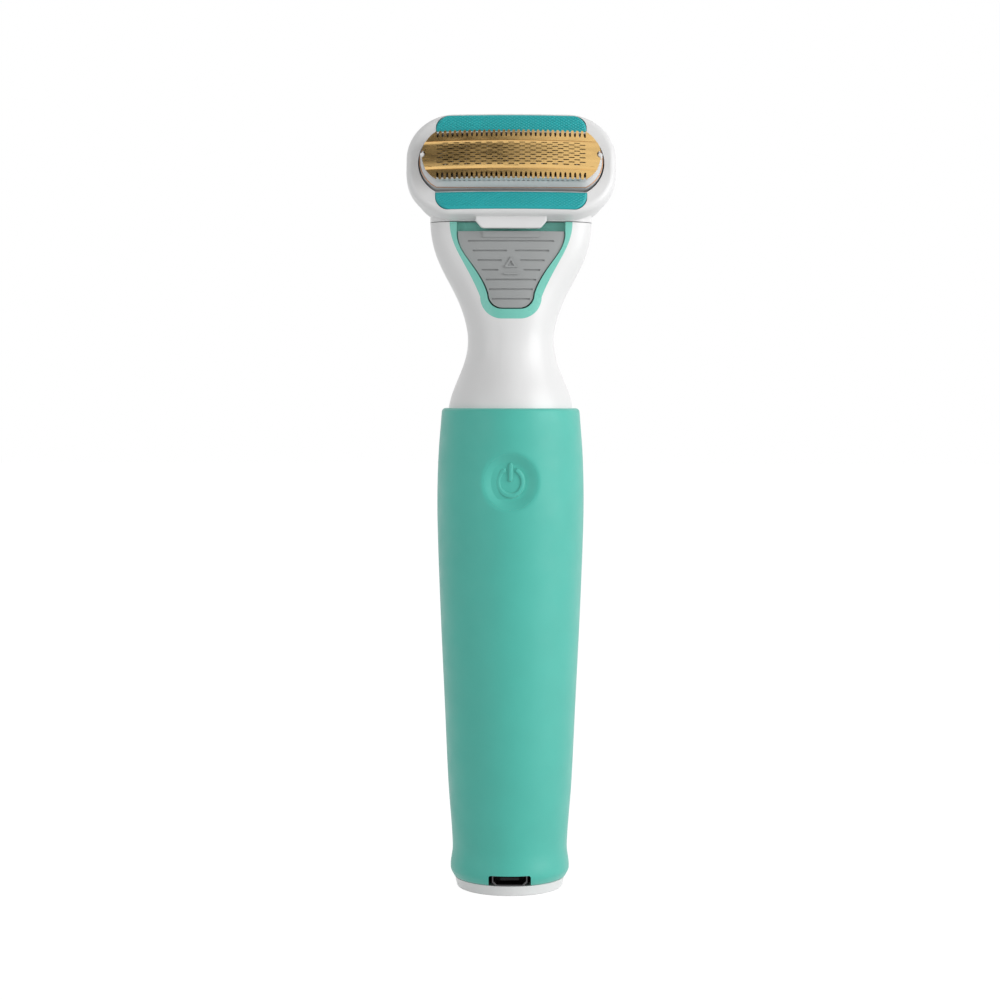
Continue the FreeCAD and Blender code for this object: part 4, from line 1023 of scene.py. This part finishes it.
def make_floor():
    """White floor that keeps a faint shadow of the object."""
    mesh = bpy.data.meshes.new("floor")
    half = FLOOR_HALF
    mesh.from_pydata([(-half, -half, 0), (half, -half, 0), (half, half, 0), (-half, half, 0)], [],
                     [(0, 1, 2, 3)])
    floor = bpy.data.objects.new("floor", mesh)
    bpy.context.scene.collection.objects.link(floor)
    material = bpy.data.materials.new("floor")
    material.use_nodes = True
    tree = material.node_tree
    matt = tree.nodes["Principled BSDF"]
    matt.inputs["Base Color"].default_value = (FLOOR_GREY, FLOOR_GREY, FLOOR_GREY, 1)
    matt.inputs["Roughness"].default_value = 0.9
    glow = tree.nodes.new("ShaderNodeEmission")
    glow.inputs["Strength"].default_value = FLOOR_GLOW
    blend = tree.nodes.new("ShaderNodeMixShader")
    share = tree.nodes.new("ShaderNodeMath")
    share.operation = "MULTIPLY"
    share.inputs[1].default_value = GLOW_SHARE
    tree.links.new(any_ray(tree, SEEN_RAYS), share.inputs[0])
    tree.links.new(share.outputs["Value"], blend.inputs["Fac"])
    tree.links.new(matt.outputs["BSDF"], blend.inputs[1])
    tree.links.new(glow.outputs["Emission"], blend.inputs[2])
    tree.links.new(blend.outputs["Shader"], tree.nodes["Material Output"].inputs["Surface"])
    mesh.materials.append(material)


def make_flag(name, corners, grey):
    """Card that only reflections see, as a studio shapes gloss with; corners in millimetres."""
    mesh = bpy.data.meshes.new(name)
    mesh.from_pydata([tuple(Vector(corner) * MM) for corner in corners], [], [(0, 1, 2, 3)])
    flag = bpy.data.objects.new(name, mesh)
    bpy.context.scene.collection.objects.link(flag)
    material = bpy.data.materials.new(name)
    material.use_nodes = True
    matt = material.node_tree.nodes["Principled BSDF"]
    matt.inputs["Base Color"].default_value = (grey, grey, grey, 1)
    matt.inputs["Specular IOR Level"].default_value = 0.0
    mesh.materials.append(material)
    flag.visible_camera = False
    flag.visible_diffuse = False
    flag.visible_shadow = False


def make_studio():
    """Camera, lamps, world, floor and view transform."""
    make_camera()
    make_world()
    make_floor()
    make_flag("left_flag", [(-420, -750, -100), (-100, -950, -100), (-100, -950, 800),
                            (-420, -750, 800)], 0.45)
    make_flag("foil_flag", [(-700, -680, 340), (35, -680, 340), (35, -160, 840),
                            (-700, -160, 840)], 0.20)
    middle = (0, 0, 95)
    make_lamp("key_right", (640, -330, 300), middle, (520, 620), 4.3)
    make_lamp("fill_left", (-520, -520, 260), middle, (500, 600), 1.1)
    bpy.context.scene.view_settings.view_transform = "Standard"


make_studio()
dress_nodes()
make_sleeve()
make_pad()
make_foil()
make_cassette()
make_bead()
make_pin("left_pin", -1)
make_pin("right_pin", 1)
make_cushion("knurled_cushion_upper", "cushion_upper", 1)
make_cushion("knurled_cushion_lower", "cushion_lower", -1)
press_spring("slider_coil", "slider_spring", "handle", Vector((0, 0, 1)))
press_spring("foil_coils", "foil_springs", "cassette", INWARD)
